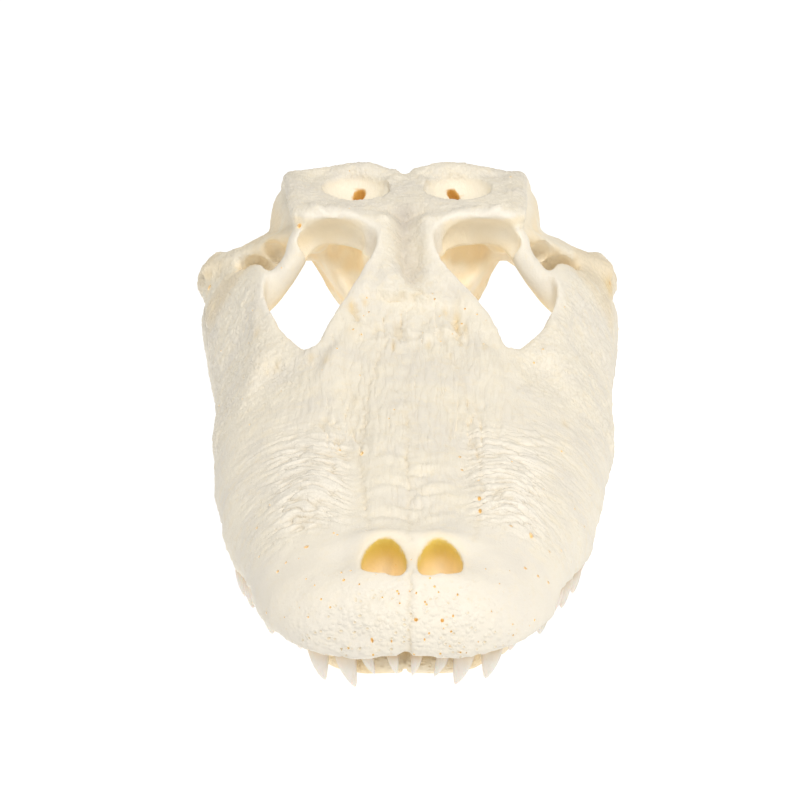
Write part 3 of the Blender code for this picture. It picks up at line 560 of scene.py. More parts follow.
def valuesOf(data, key="vector", wide=3):  # one row for each point
    read = np.empty(len(data) * wide, np.float32)
    data.foreach_get(key, read)
    return read.reshape(-1, wide)


def boneShares(mesh):  # places and directions of the points, in shares
    points = valuesOf(mesh.vertices, "co") / skull["length"] + (0.0, skull["middle"], skull["floor"])
    return points, valuesOf(mesh.vertex_normals)


def paint(mesh, name, values):
    values = np.asarray(values, np.float32)
    kind, key = ("FLOAT_VECTOR", "vector") if values.ndim == 2 else ("FLOAT", "value")
    attribute = mesh.attributes.get(name) or mesh.attributes.new(name, kind, "POINT")
    attribute.data.foreach_set(key, values.ravel())


def paintMasks(mesh, masks):
    for name, values in masks.items():
        paint(mesh, name, np.clip(values, 0, 1))


def ovalDistance(x, y, place, sizes):  # 1 on the oval's edge
    return np.hypot((x - place[0]) / sizes[0], (y - place[1]) / sizes[1])


def lineDistance(x, y, line):  # from points to a line of knots, seen from above
    best = np.full(len(x), 9.0)
    line = np.asarray(line, float)
    for a, b in zip(line, line[1:]):
        way = b - a
        t = np.clip(((x - a[0]) * way[0] + (y - a[1]) * way[1]) / way.dot(way), 0, 1)
        best = np.minimum(best, np.hypot(x - a[0] - t * way[0], y - a[1] - t * way[1]))
    return best


def marginDistance(side, along):  # from the margin of the eye socket
    return lineDistance(side, along, [*socketShape["margin"], socketShape["margin"][0]])


def withinMargin(side, along, scale):  # 1 inside the margin of the eye socket, 0 outside
    outline = np.asarray(socketShape["margin"], float)
    middle = outline.mean(axis=0)
    outline = middle + (outline - middle) * scale
    inside = np.zeros(len(side), bool)
    for a, b in zip(outline, np.roll(outline, -1, axis=0)):
        if a[1] != b[1]:
            crossing = a[0] + (along - a[1]) * (b[0] - a[0]) / (b[1] - a[1])
            inside ^= ((along > a[1]) != (along > b[1])) & (side < crossing)
    return inside.astype(float)


sutures = {  # lines on the roof, from above: across, along; then half width and depth
    "nasalMidline": (((0.002, 0.118), (0, 0.2), (-0.002, 0.3), (0, 0.4), (-0.001, 0.47)), 0.0022, 0.0016),
    "premaxillaMidline": (((0.005, 0), (0.005, 0.03), (0.006, 0.062)), 0.0024, 0.0024),
    "nasalLeft": (((-0.041, 0.139), (-0.05, 0.22), (-0.056, 0.33), (-0.05, 0.4), (-0.048, 0.464),
                   (-0.04, 0.55), (-0.028, 0.62)), 0.0022, 0.0016),
    "nasalRight": (((0.074, 0.128), (0.08, 0.22), (0.082, 0.3), (0.079, 0.4), (0.07, 0.47),
                    (0.052, 0.56), (0.034, 0.63)), 0.0022, 0.0014),
    "ledge": (((-0.048, 0.689), (-0.02, 0.686), (0.016, 0.688)), 0.0026, 0.0022),
    "ledgeBranch": (((0, 0.712), (0.012, 0.696), (0.022, 0.682)), 0.0020, 0.0018),
    "longGroove": (((0.053, 0.648), (0.057, 0.622), (0.061, 0.599)), 0.0030, 0.0040),
    "tanGroove": (((-0.067, 0.676), (-0.067, 0.65)), 0.0032, 0.0044),
    "parietal": (((-0.02, 0.838), (0, 0.832), (0.022, 0.838)), 0.0020, 0.0014),
}

stains = (  # yellowed spots in thousandths: across, along, half width, half length; then strength
    (-73, 671, 4, 10, 0.75), (-56, 680, 3, 6, 0.55), (-72, 634, 5, 16, 0.45), (57, 652, 5, 22, 0.60),
    (42, 664, 3, 9, 0.50), (66, 632, 3, 14, 0.55), (-188, 663, 4, 12, 0.30), (-198, 640, 3, 10, 0.35),
    (-161, 592, 4, 9, 0.45), (-172, 583, 3, 6, 0.30), (-118, 575, 4, 10, 0.35), (-100, 560, 4, 12, 0.30),
    (-20, 595, 3, 12, 0.40), (22, 600, 3, 10, 0.35), (90, 590, 3, 10, 0.35), (-60, 470, 3, 30, 0.25),
    (62, 430, 3, 30, 0.30), (180, 470, 4, 10, 0.30),
)

grainScale = {  # millimetres in a unit of the pattern
    "round": 1.45,              # outward from a point before each boss
    "turn": 3.6,                # round that point
    "up": 5.0,
    "jaw": 2.0,
}


def outerFaces(points, normals):  # 1 where the bone's surface looks away from its inside
    x, y, z = points.T
    out = np.column_stack([x * 1.3, np.minimum(y - 0.10, 0) * 1.5, z - 0.03])
    out /= np.linalg.norm(out, axis=1)[:, None] + 1e-6
    facing = (normals * out).sum(axis=1)
    outer = np.where(z > 0.09, rise(facing, -0.15, 0.25), rise(facing, 0.05, 0.5))
    cheekTop = rise(normals[:, 2], 0.15, 0.40) * rise(z, 0.075, 0.090) * rise(np.abs(x), 0.13, 0.15)
    return np.maximum(outer, cheekTop)


def creases(x, y):  # depth of the sutures in shares, and how near a point is to one
    phase = np.random.default_rng(skull["seed"]).uniform(0, 6.3, 6)
    wiggle = np.sin(y * 410 + phase[0]) + np.sin(y * 233 + phase[1]) + 0.7 * np.sin(y * 707 + phase[2])
    weave = np.sin(x * 390 + phase[3]) + np.sin(x * 261 + phase[4])
    depths, near = np.zeros(len(x)), np.zeros(len(x))
    for line, halfWidth, depth in sutures.values():
        cut = bell(lineDistance(x + 0.0011 * wiggle, y + 0.0010 * weave, line), 0, halfWidth)
        depths = np.maximum(depths, cut * depth)
        near = np.maximum(near, cut)
    return depths, near


def stained(x, y):
    most = np.zeros(len(x))
    for *spot, strength in stains:
        across, along, halfWidth, halfLength = np.array(spot) / 1000
        most = np.maximum(most, strength * bell(x, across, halfWidth) * bell(y, along, halfLength))
    return most


def wrinkleGrain(x, y, z):  # wrinkles run round a point in front of each boss
    centre = np.where(x < 0, -0.165, 0.115)
    ahead = np.where(x < 0, -0.02, 0.02)
    radius = np.hypot(x - centre, (y - ahead) * 0.85)
    angle = np.arctan2(x - centre, y - ahead)
    scale = skull["length"] * 1000
    return np.column_stack([
        radius * scale / grainScale["round"],
        angle * 0.17 * scale / grainScale["turn"],
        z * scale / grainScale["up"] + (x > 0) * 9,
    ])


def paintCranium(mesh):
    points, normals = boneShares(mesh)
    x, y, z = points.T
    up = normals[:, 2]
    side = np.abs(x)
    outer = outerFaces(points, normals)
    spot = marginDistance(side, y)
    depths, near = creases(x, y)

    # masks of the surface's relief
    across, along = snoutShape["nostrilPlace"]
    aside = np.abs(x - snoutShape["nostrilShift"])
    inside = ovalDistance(aside, y, (across, along + 0.002), (0.025, 0.032))
    nostril = fall(inside, 1.0, 1.16) * (1 - rise(up, 0.25, 0.5) * rise(z, 0.060, 0.068)) * (z > 0.026)
    roofTop = smoothRun(snoutShape["lines"], y)[:, 1]
    nearRoof = rise(z, roofTop * 0.35, roofTop * 0.55)
    boss = band(side, 0.052, 0.085, 0.135, 0.168) * band(y, 0.13, 0.20, 0.34, 0.46)
    flank = 0.7 * rise(side, 0.12, 0.16) * band(y, 0.10, 0.20, 0.40, 0.55)
    nasal = bell(x, 0.008, 0.065) * band(y, 0.12, 0.18, 0.62, 0.70)
    upper = band(y, 0.34, 0.46, 0.60, 0.68) * fall(side, 0.12, 0.17)
    furrows = bell(side, 0.076, 0.034) * bell(y, 0.40, 0.085) + bell(x, 0, 0.085) * bell(y, 0.640, 0.045)
    cheek = rise(side, 0.10, 0.15) * rise(y, 0.40, 0.56)
    brow = bell(x, 0, 0.07) * band(y, 0.60, 0.70, 0.80, 0.83)
    post = bell(side, 0.160, 0.035) * band(y, 0.755, 0.775, 0.83, 0.85) * (z > 0.10) * (z < 0.20)
    table = rise(y, 0.80, 0.84) * rise(z, 0.19, 0.205)
    tableSide = rise(side, 0.125, 0.140) * rise(y, 0.83, 0.85) * band(z, 0.130, 0.150, 0.200, 0.212)
    calm = 1 - 0.6 * bell(spot, 0, 0.009) * rise(y, 0.60, 0.66)
    basin = fall(ovalDistance(side, y, (0.065, 0.920), (0.046, 0.051)), 0.93, 1.03) * fall(z, 0.219, 0.224)
    pebble = np.clip((cheek + brow) * (1 - post) + table, 0, 1)
    lip = (1 - 0.70 * rise(y, 0.012, 0.045)) * fall(y, 0.045, 0.115) * (1 - nostril)
    paintMasks(mesh, {
        "wrinkle": np.clip(boss + 0.35 * flank, 0, 1) * outer * nearRoof * (1 - nostril),
        "streak": np.clip(nasal + 0.7 * upper, 0, 1) * outer,
        "furrow": np.clip(furrows, 0, 1) * outer,
        "pebble": pebble * outer * calm * (1 - basin) * (1 - 0.7 * tableSide),
        "stipple": (lip + 0.5 * flank) * outer,
        "hair": outer * rise(y, 0.11, 0.16),
        "groove": depths * outer * skull["length"],
        "seam": near * outer,
        "outer": outer,
    })
    paint(mesh, "grain", wrinkleGrain(x, y, z))
    paint(mesh, "rest", points * skull["length"] * 1000)

    # masks of the colours, with painted shade, painted highlight and painted glow: eye sockets, nostrils,
    # windows behind the sockets, basins of the skull table
    rimHeight = np.interp(y, (0.60, 0.68, 0.73, 0.78, 0.82), (0.125, 0.145, 0.165, 0.190, 0.205))
    rimHeight = rimHeight - 0.3 * np.maximum(side - 0.05, 0) * rise(y, 0.65, 0.75)
    inSocket = withinMargin(side, y, 1.06) * rise(rimHeight - z, 0.010, 0.032) * rise(z, -0.02, 0.04)
    behind = bell(side, 0.07, 0.06) * band(y, 0.80, 0.84, 0.95, 1.0) * band(z, 0, 0.04, 0.165, 0.185)
    shelf = rise(y, 0.80, 0.84) * rise(side, 0.10, 0.14) * band(z, 0.04, 0.08, 0.17, 0.20)
    arch = band(y, 0.800, 0.812, 0.838, 0.845) * band(z, 0.150, 0.170, 0.217, 0.220)
    arch = arch * band(side, 0.030, 0.045, 0.140, 0.150) * fall(up, 0.2, 0.5)
    window = fall(ovalDistance(side, y, (0.180, 0.866), (0.036, 0.046)), 0.8, 1.05)
    window = window * band(z, 0.05, 0.08, 0.160, 0.172)
    recess = bell(side, 0.182, 0.024) * band(y, 0.84, 0.86, 0.94, 0.97) * bell(z, 0.132, 0.020)
    recess = recess * fall(up, 0.45, 0.75)
    corner = bell(side, 0.257, 0.010) * bell(y, 0.956, 0.018) * bell(z, 0.078, 0.012)
    shaft = fall(ovalDistance(side, y, (0.060, 0.950), (0.0085, 0.014)), 0.95, 1.15) * (up < 0.75)
    around = bell(inside, 1.0, 0.30) * outer
    # painted warm shade in the eye sockets, behind them, on the shelf, in the recesses, windows and corner
    # and round the nostrils, together with the bone's own yellowed stains
    tan = 0.8 * inSocket * (1 - arch) + 0.45 * shelf + 0.9 * behind + 0.35 * (around + arch + recess)
    tan = tan + 1.5 * stained(x, y) * outer + 0.25 * window * rise(z, 0.10, 0.12) + 0.9 * corner
    # painted highlight along the eye sockets' margins; below, also on the bosses and the snout's front
    rim = bell(spot, 0.002, 0.007) * rise(y, 0.64, 0.70) * (z > 0.10)
    channel = bell(x, channelMiddle(y) + 0.001, 0.012) * band(y, 0.69, 0.76, 0.84, 0.87)
    # painted shade in the channel between the eye sockets, at its top, in the windows and recesses, with
    # some grey of the bone itself elsewhere
    grey = sum((
        0.12 * bell(y, 0.115, 0.04) * bell(side, 0.11, 0.05),
        0.62 * channel,
        0.30 * bell(x, 0.004, 0.030) * bell(y, 0.835, 0.020),
        0.06 * bell(x, 0, 0.10) * bell(y, 0.86, 0.03),
        0.35 * window,
        0.14 * fall(y, 0.08, 0.16),
        0.05 * recess,
        0.16 * bell(x, -0.18, 0.030) * bell(y, 0.60, 0.040),
        0.05 * rise(y, 0.80, 0.84) * rise(z, 0.19, 0.21),
    )) * (1 - basin)
    paintMasks(mesh, {
        "rim": (rim + boss + 0.5 * fall(y, 0.10, 0.17)) * outer,
        # painted glow in the eye sockets, behind them, round the nostrils and in the recesses
        "glow": 0.9 * inSocket + behind + 0.3 * (around + recess),
        "tan": tan,
        "gold": nostril + shaft * band(z, 0.12, 0.14, 0.209, 0.211),
        # cream is the basins' and the arch's own colour; on the skull table's sides it is painted light
        "cream": 0.6 * basin * rise(z, 0.17, 0.19) + arch + 0.7 * tableSide * fall(side, 0.170, 0.190),
        "grey": np.clip(grey, 0, 1) * np.maximum(outer, np.maximum(window, recess)),
    })


def channelMiddle(y):  # of the channel between the eye sockets
    return np.interp(y, (0.68, 0.70, 0.735, 0.77), (0.002, 0.002, 0.004, -0.001))


roofForms = {  # height; middle and spread across; middle and spread along; on both sides or once
    "dip": (-0.008, 0, 0.035, 0.835, 0.016, False),
    "hollow": (-0.005, -0.01, 0.05, 0.655, 0.026, False),
    "boss": (0.006, 0.108, 0.036, 0.275, 0.075, True),
    "valley": (-0.004, 0.062, 0.016, 0.27, 0.09, True),
}


def sculptCranium(mesh):  # broad forms of the roof, moved up or down
    points, normals = boneShares(mesh)
    x, y, z = points.T
    side = np.abs(x)
    away = x - channelMiddle(y)
    height = -0.019 * bell(away, 0, np.where(away < 0, 0.010, 0.018)) * band(y, 0.685, 0.735, 0.805, 0.850)
    banks = bell(side, 0.026, 0.009) * band(y, 0.695, 0.74, 0.81, 0.85)
    height = height + 0.004 * banks
    for size, across, wide, along, long, paired in roofForms.values():
        height = height + size * bell(side if paired else x, across, wide) * bell(y, along, long)
    ledge = rise(y + 0.25 * (x + 0.01), 0.684, 0.690) * fall(y, 0.71, 0.76)
    height = height + 0.009 * ledge * bell(x, -0.010, 0.044)
    spokes = np.sin((np.arctan2(x + 0.01, 0.72 - y) + 0.15 * np.sin(y * 140)) * 15)
    height = height + 0.0028 * np.maximum(0, spokes) * bell(y, 0.625, 0.030) * bell(x, -0.005, 0.075)
    brows = bell(side, 0.084 - 0.3 * (y - 0.6), 0.012) * bell(y, 0.60, 0.07)
    height = height + 0.004 * brows
    waves = np.sin(y * 170 + 5 * x + 2.2 * np.sin(x * 60))
    waves = waves + 0.7 * np.sin(y * 263 - 30 * x + 1.5 * np.sin(x * 95 + 1))
    height = height + 0.0019 * waves * bell(x, 0.008, 0.042) * bell(y, 0.24, 0.085)
    crest = bell(side, 0.012 + 0.55 * np.maximum(0.96 - y, 0), 0.008) * rise(y, 0.86, 0.89)
    height = height + 0.004 * crest * (z > 0.19)
    points[:, 2] += height * rise(normals[:, 2], 0.15, 0.6) * (z > 0.04)
    mesh.vertices.foreach_set("co", toMetres(points).astype(np.float32).ravel())
    mesh.update()


def paintJaw(mesh):
    points, normals = boneShares(mesh)
    x, y, _ = points.T
    outer = rise(normals[:, 0] * np.sign(x), -0.2, 0.4)
    front = fall(y, 0.10, 0.20)
    symphysis = bell(x, 0, 0.0024) * (y < 0.2)
    paintMasks(mesh, {
        "streak": 0.9 * outer * rise(y, 0.12, 0.30),
        "pebble": 0.7 * rise(y, 0.70, 0.85) * outer,
        "stipple": fall(y, 0.12, 0.22) * rise(np.maximum(outer, -normals[:, 1]), 0.1, 0.6),
        "hair": outer,
        "groove": 0.004 * symphysis * skull["length"],
        "seam": symphysis,
        "outer": outer,
        # painted warm shade on the inner faces and at the front, and a painted glow at the front
        "gold": 0.25 * front,
        "tan": 0.5 * (1 - outer) + 0.85 * front,
        "grey": 0.05 * outer,
        "glow": 0.35 * front,
        **dict.fromkeys(("wrinkle", "rim", "furrow", "cream"), np.zeros(len(x))),
    })
    scale = skull["length"] * 1000
    paint(mesh, "grain", points * scale / grainScale["jaw"])
    paint(mesh, "rest", points * scale)


# node helpers


def plug(tree, value, socket):
    if isinstance(value, bpy.types.NodeSocket):
        tree.links.new(value, socket)
    else:
        socket.default_value = value


def addNode(tree, kind, sockets=None, **settings):
    node = tree.nodes.new(kind)
    for name, value in settings.items():
        setattr(node, name, value)
    for key, value in (sockets or {}).items():
        plug(tree, value, node.inputs[key])
    return node


def made(tree, kind, sockets=None, **settings):  # first output of a new node
    return addNode(tree, kind, sockets, **settings).outputs[0]


def calc(tree, operation, *values):
    return made(tree, "ShaderNodeMath", dict(enumerate(values)), operation=operation)


def times(tree, first, *others):
    for other in others:
        first = calc(tree, "MULTIPLY", first, other)
    return first


def plus(tree, first, *others):
    for other in others:
        first = calc(tree, "ADD", first, other)
    return first


def less(tree, first, second):
    return calc(tree, "SUBTRACT", first, second)


def vectorCalc(tree, operation, first, second):
    second = {"Scale" if operation == "SCALE" else 1: second}
    return made(tree, "ShaderNodeVectorMath", {0: first, **second}, operation=operation)


def vector(tree, x, y, z):
    return made(tree, "ShaderNodeCombineXYZ", {"X": x, "Y": y, "Z": z})


def parts(tree, value):  # X, Y and Z of a vector
    return addNode(tree, "ShaderNodeSeparateXYZ", {"Vector": value}).outputs


def noise(tree, place, scale, detail=2.0, roughness=0.5, distortion=0.0):
    return made(tree, "ShaderNodeTexNoise", {
        "Vector": place, "Scale": scale, "Detail": detail, "Roughness": roughness, "Distortion": distortion,
    })


def ramp(tree, value, low, high, toLow=0.0, toHigh=1.0):
    return made(tree, "ShaderNodeMapRange", {
        "Value": value, "From Min": low, "From Max": high, "To Min": toLow, "To Max": toHigh,
    }, interpolation_type="SMOOTHSTEP")


def shapeTree(name, inputs):  # a geometry tree with named inputs, its inputs' values and its output node
    tree = bpy.data.node_groups.new(name, "GeometryNodeTree")
    tree.interface.new_socket("Geometry", in_out="INPUT", socket_type="NodeSocketGeometry")
    for label, (kind, value) in inputs.items():
        socket = tree.interface.new_socket(label, in_out="INPUT", socket_type="NodeSocket" + kind)
        if value is not None:
            socket.default_value = value
    tree.interface.new_socket("Geometry", in_out="OUTPUT", socket_type="NodeSocketGeometry")
    return tree, tree.nodes.new("NodeGroupInput").outputs, tree.nodes.new("NodeGroupOutput")


def grown(obj, tree, values):  # the object keeps what the tree makes of it
    modifier = obj.modifiers.new(tree.name, "NODES")
    modifier.node_group = tree
    for item in tree.interface.items_tree:
        if item.item_type == "SOCKET" and item.in_out == "INPUT" and item.name in values:
            modifier[item.identifier] = values[item.name]
    return settled(obj)


def named(tree, name, kind="FLOAT"):
    node = addNode(tree, "GeometryNodeInputNamedAttribute", {"Name": name}, data_type=kind)
    return node.outputs["Attribute"]


def stored(tree, geometry, name, value, kind="FLOAT"):
    sockets = {"Geometry": geometry, "Name": name, "Value": value}
    return made(tree, "GeometryNodeStoreNamedAttribute", sockets, data_type=kind, domain="POINT")


def pushed(tree, geometry, way, distance):
    offset = vectorCalc(tree, "SCALE", way, distance)
    return made(tree, "GeometryNodeSetPosition", {"Geometry": geometry, "Offset": offset})


def finishTree(tree, geometry, material, output):
    real = made(tree, "GeometryNodeRealizeInstances", {"Geometry": geometry})
    dressed = made(tree, "GeometryNodeSetMaterial", {"Geometry": real, "Material": material})
    tree.links.new(dressed, output.inputs[0])
    return tree


# relief of the bone's surface

reliefDepth = {  # metres
    "Wrinkle Depth": 0.00115,
    "Furrow Depth": 0.00150,
    "Streak Depth": 0.00044,
    "Pebble Depth": 0.00042,
    "Stipple Depth": 0.00036,
    "Swell Depth": 0.00170,
    "Grain Depth": 0.00020,
    "Grain Warp": 2.2,          # of the grain's own units
    "Rest Warp": 3.0,           # millimetres
    "Seed": 3.0,
}
reliefLevel = 0.7               # ridges above this rise and the creases below it sink
heightScale = 2000.0            # the relief's height as the material reads it, to a metre


def ridges(tree, place, scale, sharp):  # rounded ridges between narrow creases
    away = calc(tree, "ABSOLUTE", less(tree, noise(tree, place, scale, 1.0, 0.55), 0.5))
    return calc(tree, "POWER", calc(tree, "MINIMUM", times(tree, away, sharp), 1.0), 0.6)


def stretched(tree, place, *factors):
    return vectorCalc(tree, "MULTIPLY", place, factors)


def reliefFields(tree, rest, grain):  # rest is in millimetres; the relief and the materials share these
    dots = addNode(tree, "ShaderNodeTexVoronoi", {
        "Vector": stretched(tree, rest, 0.62, 0.74, 0.74), "Scale": 1.0, "Randomness": 1.0,
    }, feature="F1").outputs
    chosen = ramp(tree, parts(tree, dots["Color"])[0], 0.45, 0.60)
    return {
        "wrinkle": ridges(tree, grain, 0.50, 5.0),
        "streak": ridges(tree, stretched(tree, rest, 0.50, 0.060, 0.10), 1.0, 6.0),
        "furrow": ridges(tree, stretched(tree, rest, 0.29, 0.050, 0.08), 1.0, 5.0),
        "pebble": ridges(tree, stretched(tree, rest, 0.62, 0.40, 0.55), 1.1, 5.0),
        "bead": ramp(tree, dots["Distance"], 0.05, 0.75, 1.0, 0.0),
        "stipple": times(tree, ramp(tree, dots["Distance"], 0.06, 0.36, 1.0, 0.0), chosen),
    }


def boneReliefTree(material):
    inputs = {name: ("Float", value) for name, value in reliefDepth.items()}
    tree, put, output = shapeTree("boneRelief", {**inputs, "Bone": ("Material", material)})
    rest = named(tree, "rest", "FLOAT_VECTOR")
    warp = addNode(tree, "ShaderNodeTexNoise", {"Vector": rest, "Scale": 0.09, "Detail": 2.0})
    warp = vectorCalc(tree, "SUBTRACT", warp.outputs["Color"], (0.5, 0.5, 0.5))
    shape = put["Geometry"]
    fields = []
    for name, new, by in (("grain", "warpedGrain", "Grain Warp"), ("rest", "warpedRest", "Rest Warp")):
        bent = vectorCalc(tree, "SCALE", warp, put[by])
        bent = vectorCalc(tree, "ADD", named(tree, name, "FLOAT_VECTOR"), bent)
        shape = stored(tree, shape, new, bent, "FLOAT_VECTOR")
        fields.insert(0, named(tree, new, "FLOAT_VECTOR"))
    fields = reliefFields(tree, *fields)
    shifted = vectorCalc(tree, "ADD", rest, vector(tree, put["Seed"], 0.0, 0.0))
    swell = less(tree, noise(tree, shifted, 0.085, 2.0, 0.5, 0.4), 0.5)
    grit = less(tree, noise(tree, shifted, 0.9, 3.0, 0.6, 0.2), 0.5)
    outer = named(tree, "outer")
    terms = [
        times(tree, less(tree, fields[name], reliefLevel), named(tree, name), put[name.title() + " Depth"])
        for name in ("wrinkle", "streak", "furrow", "pebble")
    ]
    total = plus(
        tree, *terms,
        times(tree, fields["stipple"], named(tree, "stipple"), put["Stipple Depth"], -1.0),
        times(tree, swell, outer, put["Swell Depth"]),
        times(tree, grit, plus(tree, times(tree, outer, 0.8), 0.2), put["Grain Depth"]),
        times(tree, named(tree, "groove"), -1.0),
    )
    shape = stored(tree, shape, "height", times(tree, total, heightScale))
    shape = pushed(tree, shape, made(tree, "GeometryNodeInputNormal"), total)
    return finishTree(tree, shape, put["Bone"], output)


# nutrient pits

pitList = {  # in thousandths: across, along, height; then half width, half length and depth in millimetres
    "large": (
        (-56, 338, 100, 0.6, 1, 1.6), (-113, 129, 73, 0.75, 0.65, 1.6), (141, 169, 71, 0.75, 1.3, 1.9),
        (79, 223, 92, 0.5, 0.8, 1.4), (78, 195, 89, 0.45, 0.75, 1.3), (115, 169, 81, 0.6, 0.55, 1.3),
        (164, 164, 53, 0.5, 0.5, 1.3), (178, 190, 43, 0.5, 0.5, 1.3), (132, 109, 59, 0.55, 0.5, 1.3),
        (148, 111, 49, 0.5, 0.5, 1.3), (160, 117, 39, 0.5, 0.5, 1.3), (12, 8, 39, 0.55, 0.5, 1.4),
        (38, 11, 39, 0.5, 0.55, 1.4), (-34, 3, 17, 0.4, 0.75, 1.3), (-65, 51, 67, 0.45, 0.5, 1.2),
        (-174, 225, 54, 0.5, 0.5, 1.2), (-146, 115, 52, 0.5, 0.55, 1.2), (60, 332, 99, 0.45, 0.6, 1.3),
        (63, 302, 96, 0.45, 0.55, 1.2), (80, 268, 94, 0.45, 0.5, 1.1), (-86, 287, 94, 0.45, 0.55, 1.1),
        (198, 281, 31, 0.45, 0.45, 1.1), (-137, 823, 207, 0.95, 0.75, 2.2),
        (-257, 952, 80, 1.1, 0.7, 1.6), (260, 965, 79, 1.1, 0.7, 1.6), (-132, 120, 62, 0.4, 0.45, 1.1),
    ),
    "small": (
        (58, 34, 59), (38, 33, 62), (-49, 44, 67), (-27, 26, 59), (-70, 69, 70), (12, 30, 63),
        (-7, 19, 54), (21, 21, 55), (50, 17, 45), (61, 6, 5), (186, 288, 51), (173, 395, 78),
        (-132, 269, 88), (-82, 147, 83), (-45, 140, 89), (-169, 167, 49), (49, 9, 29), (-7, 31, 63),
        (22, 1, 18), (-13, 1, 18), (-51, 667, 153), (-59, 620, 138), (-72, 631, 140), (28, 684, 159),
        (66, 668, 153), (63, 645, 145), (36, 609, 135),
    ),
}
smallPits = {  # millimetres
    "halfWidth": (0.24, 0.34),
    "halfLength": (0.28, 0.45),
    "depth": 0.8,
}
pitSettings = {
    "Density": ("Float", 10000.0),      # scattered pits to a square metre where the mask is full
    "Spacing": ("Float", 0.0022),       # metres
    "Radius": ("Float", 0.00026),       # metres
    "Depth": ("Float", 0.00050),
    "Seed": ("Int", 5),
}
pitFloor = {"reach": 1.05, "edge": 1.15, "steepness": 2.2}      # of the half sizes


def pitTree(material):
    inputs = {**pitSettings, "Listed": ("Object", None), "Lining": ("Material", material)}
    tree, put, output = shapeTree("nutrientPits", inputs)
    scatter = addNode(tree, "GeometryNodeDistributePointsOnFaces", {
        "Mesh": put["Geometry"], "Distance Min": put["Spacing"], "Density Max": put["Density"],
        "Seed": put["Seed"], "Density Factor": named(tree, "pitChance"),
    }, distribute_method="POISSON").outputs
    spread = {2: 0.55, 3: 1.35, "Seed": put["Seed"]}        # least and most, of the radius
    spread = addNode(tree, "FunctionNodeRandomValue", spread, data_type="FLOAT").outputs[1]
    wide = times(tree, put["Radius"], spread)
    size = vector(tree, wide, times(tree, wide, 1.2), put["Depth"])
    scattered = stored(tree, scatter["Points"], "pitSize", size, "FLOAT_VECTOR")
    scattered = stored(tree, scattered, "pitWay", scatter["Normal"], "FLOAT_VECTOR")
    known = addNode(tree, "GeometryNodeObjectInfo", {"Object": put["Listed"]}).outputs["Geometry"]
    together = addNode(tree, "GeometryNodeJoinGeometry")
    tree.links.new(scattered, together.inputs[0])
    tree.links.new(made(tree, "GeometryNodeMeshToPoints", {"Mesh": known}), together.inputs[0])
    here = made(tree, "GeometryNodeInputPosition")
    centred = stored(tree, together.outputs[0], "pitPlace", here, "FLOAT_VECTOR")
    way = {"Vector": named(tree, "pitWay", "FLOAT_VECTOR")}
    placed = made(tree, "GeometryNodeInstanceOnPoints", {
        "Points": centred,
        "Instance": made(tree, "GeometryNodeMeshIcoSphere", {"Radius": 1.0, "Subdivisions": 2}),
        "Rotation": made(tree, "FunctionNodeAlignRotationToVector", way, axis="Z"),
        "Scale": named(tree, "pitSize", "FLOAT_VECTOR"),
    })
    return finishTree(tree, placed, put["Lining"], output)


def finder(places):  # finds the nearest of the places
    tree = kdtree.KDTree(len(places))
    for index, place in enumerate(places):
        tree.insert(place, index)
    tree.balance()
    return tree.find


def spots(name, places, values):  # an object of loose points with values painted on them
    mesh = bpy.data.meshes.new(name)
    mesh.from_pydata([tuple(place) for place in places], [], [])
    for label, column in values.items():
        paint(mesh, label, column)
    return linked(bpy.data.objects.new(name, mesh))


def listedPits(mesh):  # the pits of the list as points on the surface
    points, normals = boneShares(mesh)
    find = finder(points)
    rng = np.random.default_rng(skull["seed"] + 1)
    rows = list(pitList["large"])
    for place in pitList["small"]:
        sizes = rng.uniform(*smallPits["halfWidth"]), rng.uniform(*smallPits["halfLength"])
        rows.append((*place, *sizes, smallPits["depth"]))
    rows = np.array(rows) / 1000
    nearest = [find(row[:3])[1] for row in rows]
    values = {"pitSize": rows[:, 3:], "pitWay": normals[nearest]}
    return spots("listedPits", toMetres(points[nearest]), values)


def heldValues(mesh):  # places of the points and everything painted on them
    values = {}
    for attribute in mesh.attributes:
        kind = {"FLOAT": ("value", 1), "FLOAT_VECTOR": ("vector", 3)}.get(attribute.data_type)
        if kind and attribute.domain == "POINT":
            values[attribute.name] = valuesOf(attribute.data, *kind)
    return values.pop("position"), values


def giveValues(mesh, oldPlaces, old):  # each new point takes the values of the nearest old one
    places = heldValues(mesh)[0]
    find = finder(oldPlaces)
    nearest = np.array([find(place)[1] for place in places])
    moved = (places - oldPlaces[nearest]) * 1000
    for name, values in old.items():
        given = values[nearest]
        if name in ("rest", "warpedRest"):
            given = given + moved
        paint(mesh, name, given if given.shape[1] == 3 else given[:, 0])
    mesh.update()


def pitted(bone, chance, lining):  # cuts the pits, and paints how deep in a pit each point lies
    listed = listedPits(bone.data)
    paint(bone.data, "pitChance", chance)
    cutter = linked(bpy.data.objects.new("pitCutter", bone.data.copy()))
    grown(cutter, pitTree(lining), {"Listed": listed, "Lining": lining})
    bpy.data.objects.remove(listed)
    read = [valuesOf(cutter.data.attributes[name].data) for name in ("pitPlace", "pitWay", "pitSize")]
    _, firsts = np.unique(read[0].round(7), axis=0, return_index=True)
    places, ways, sizes = (values[firsts] for values in read)
    before = heldValues(bone.data)
    cutWith(bone, [cutter])
    giveValues(bone.data, *before)
    find = finder(places)
    depth = np.zeros(len(bone.data.vertices))
    for vertex in bone.data.vertices:
        _, index, distance = find(vertex.co)
        size = sizes[index]
        if distance > size.max() * pitFloor["reach"]:
            continue
        away = np.array(vertex.co) - places[index]
        down = -away.dot(ways[index]) / size[2]
        beside = np.linalg.norm(away + down * size[2] * ways[index]) / size[:2].max()
        if beside**2 + down**2 < pitFloor["edge"]:
            depth[vertex.index] = np.clip(down * pitFloor["steepness"], 0, 1)
    paint(bone.data, "pit", depth)
    return len(places)


# teeth

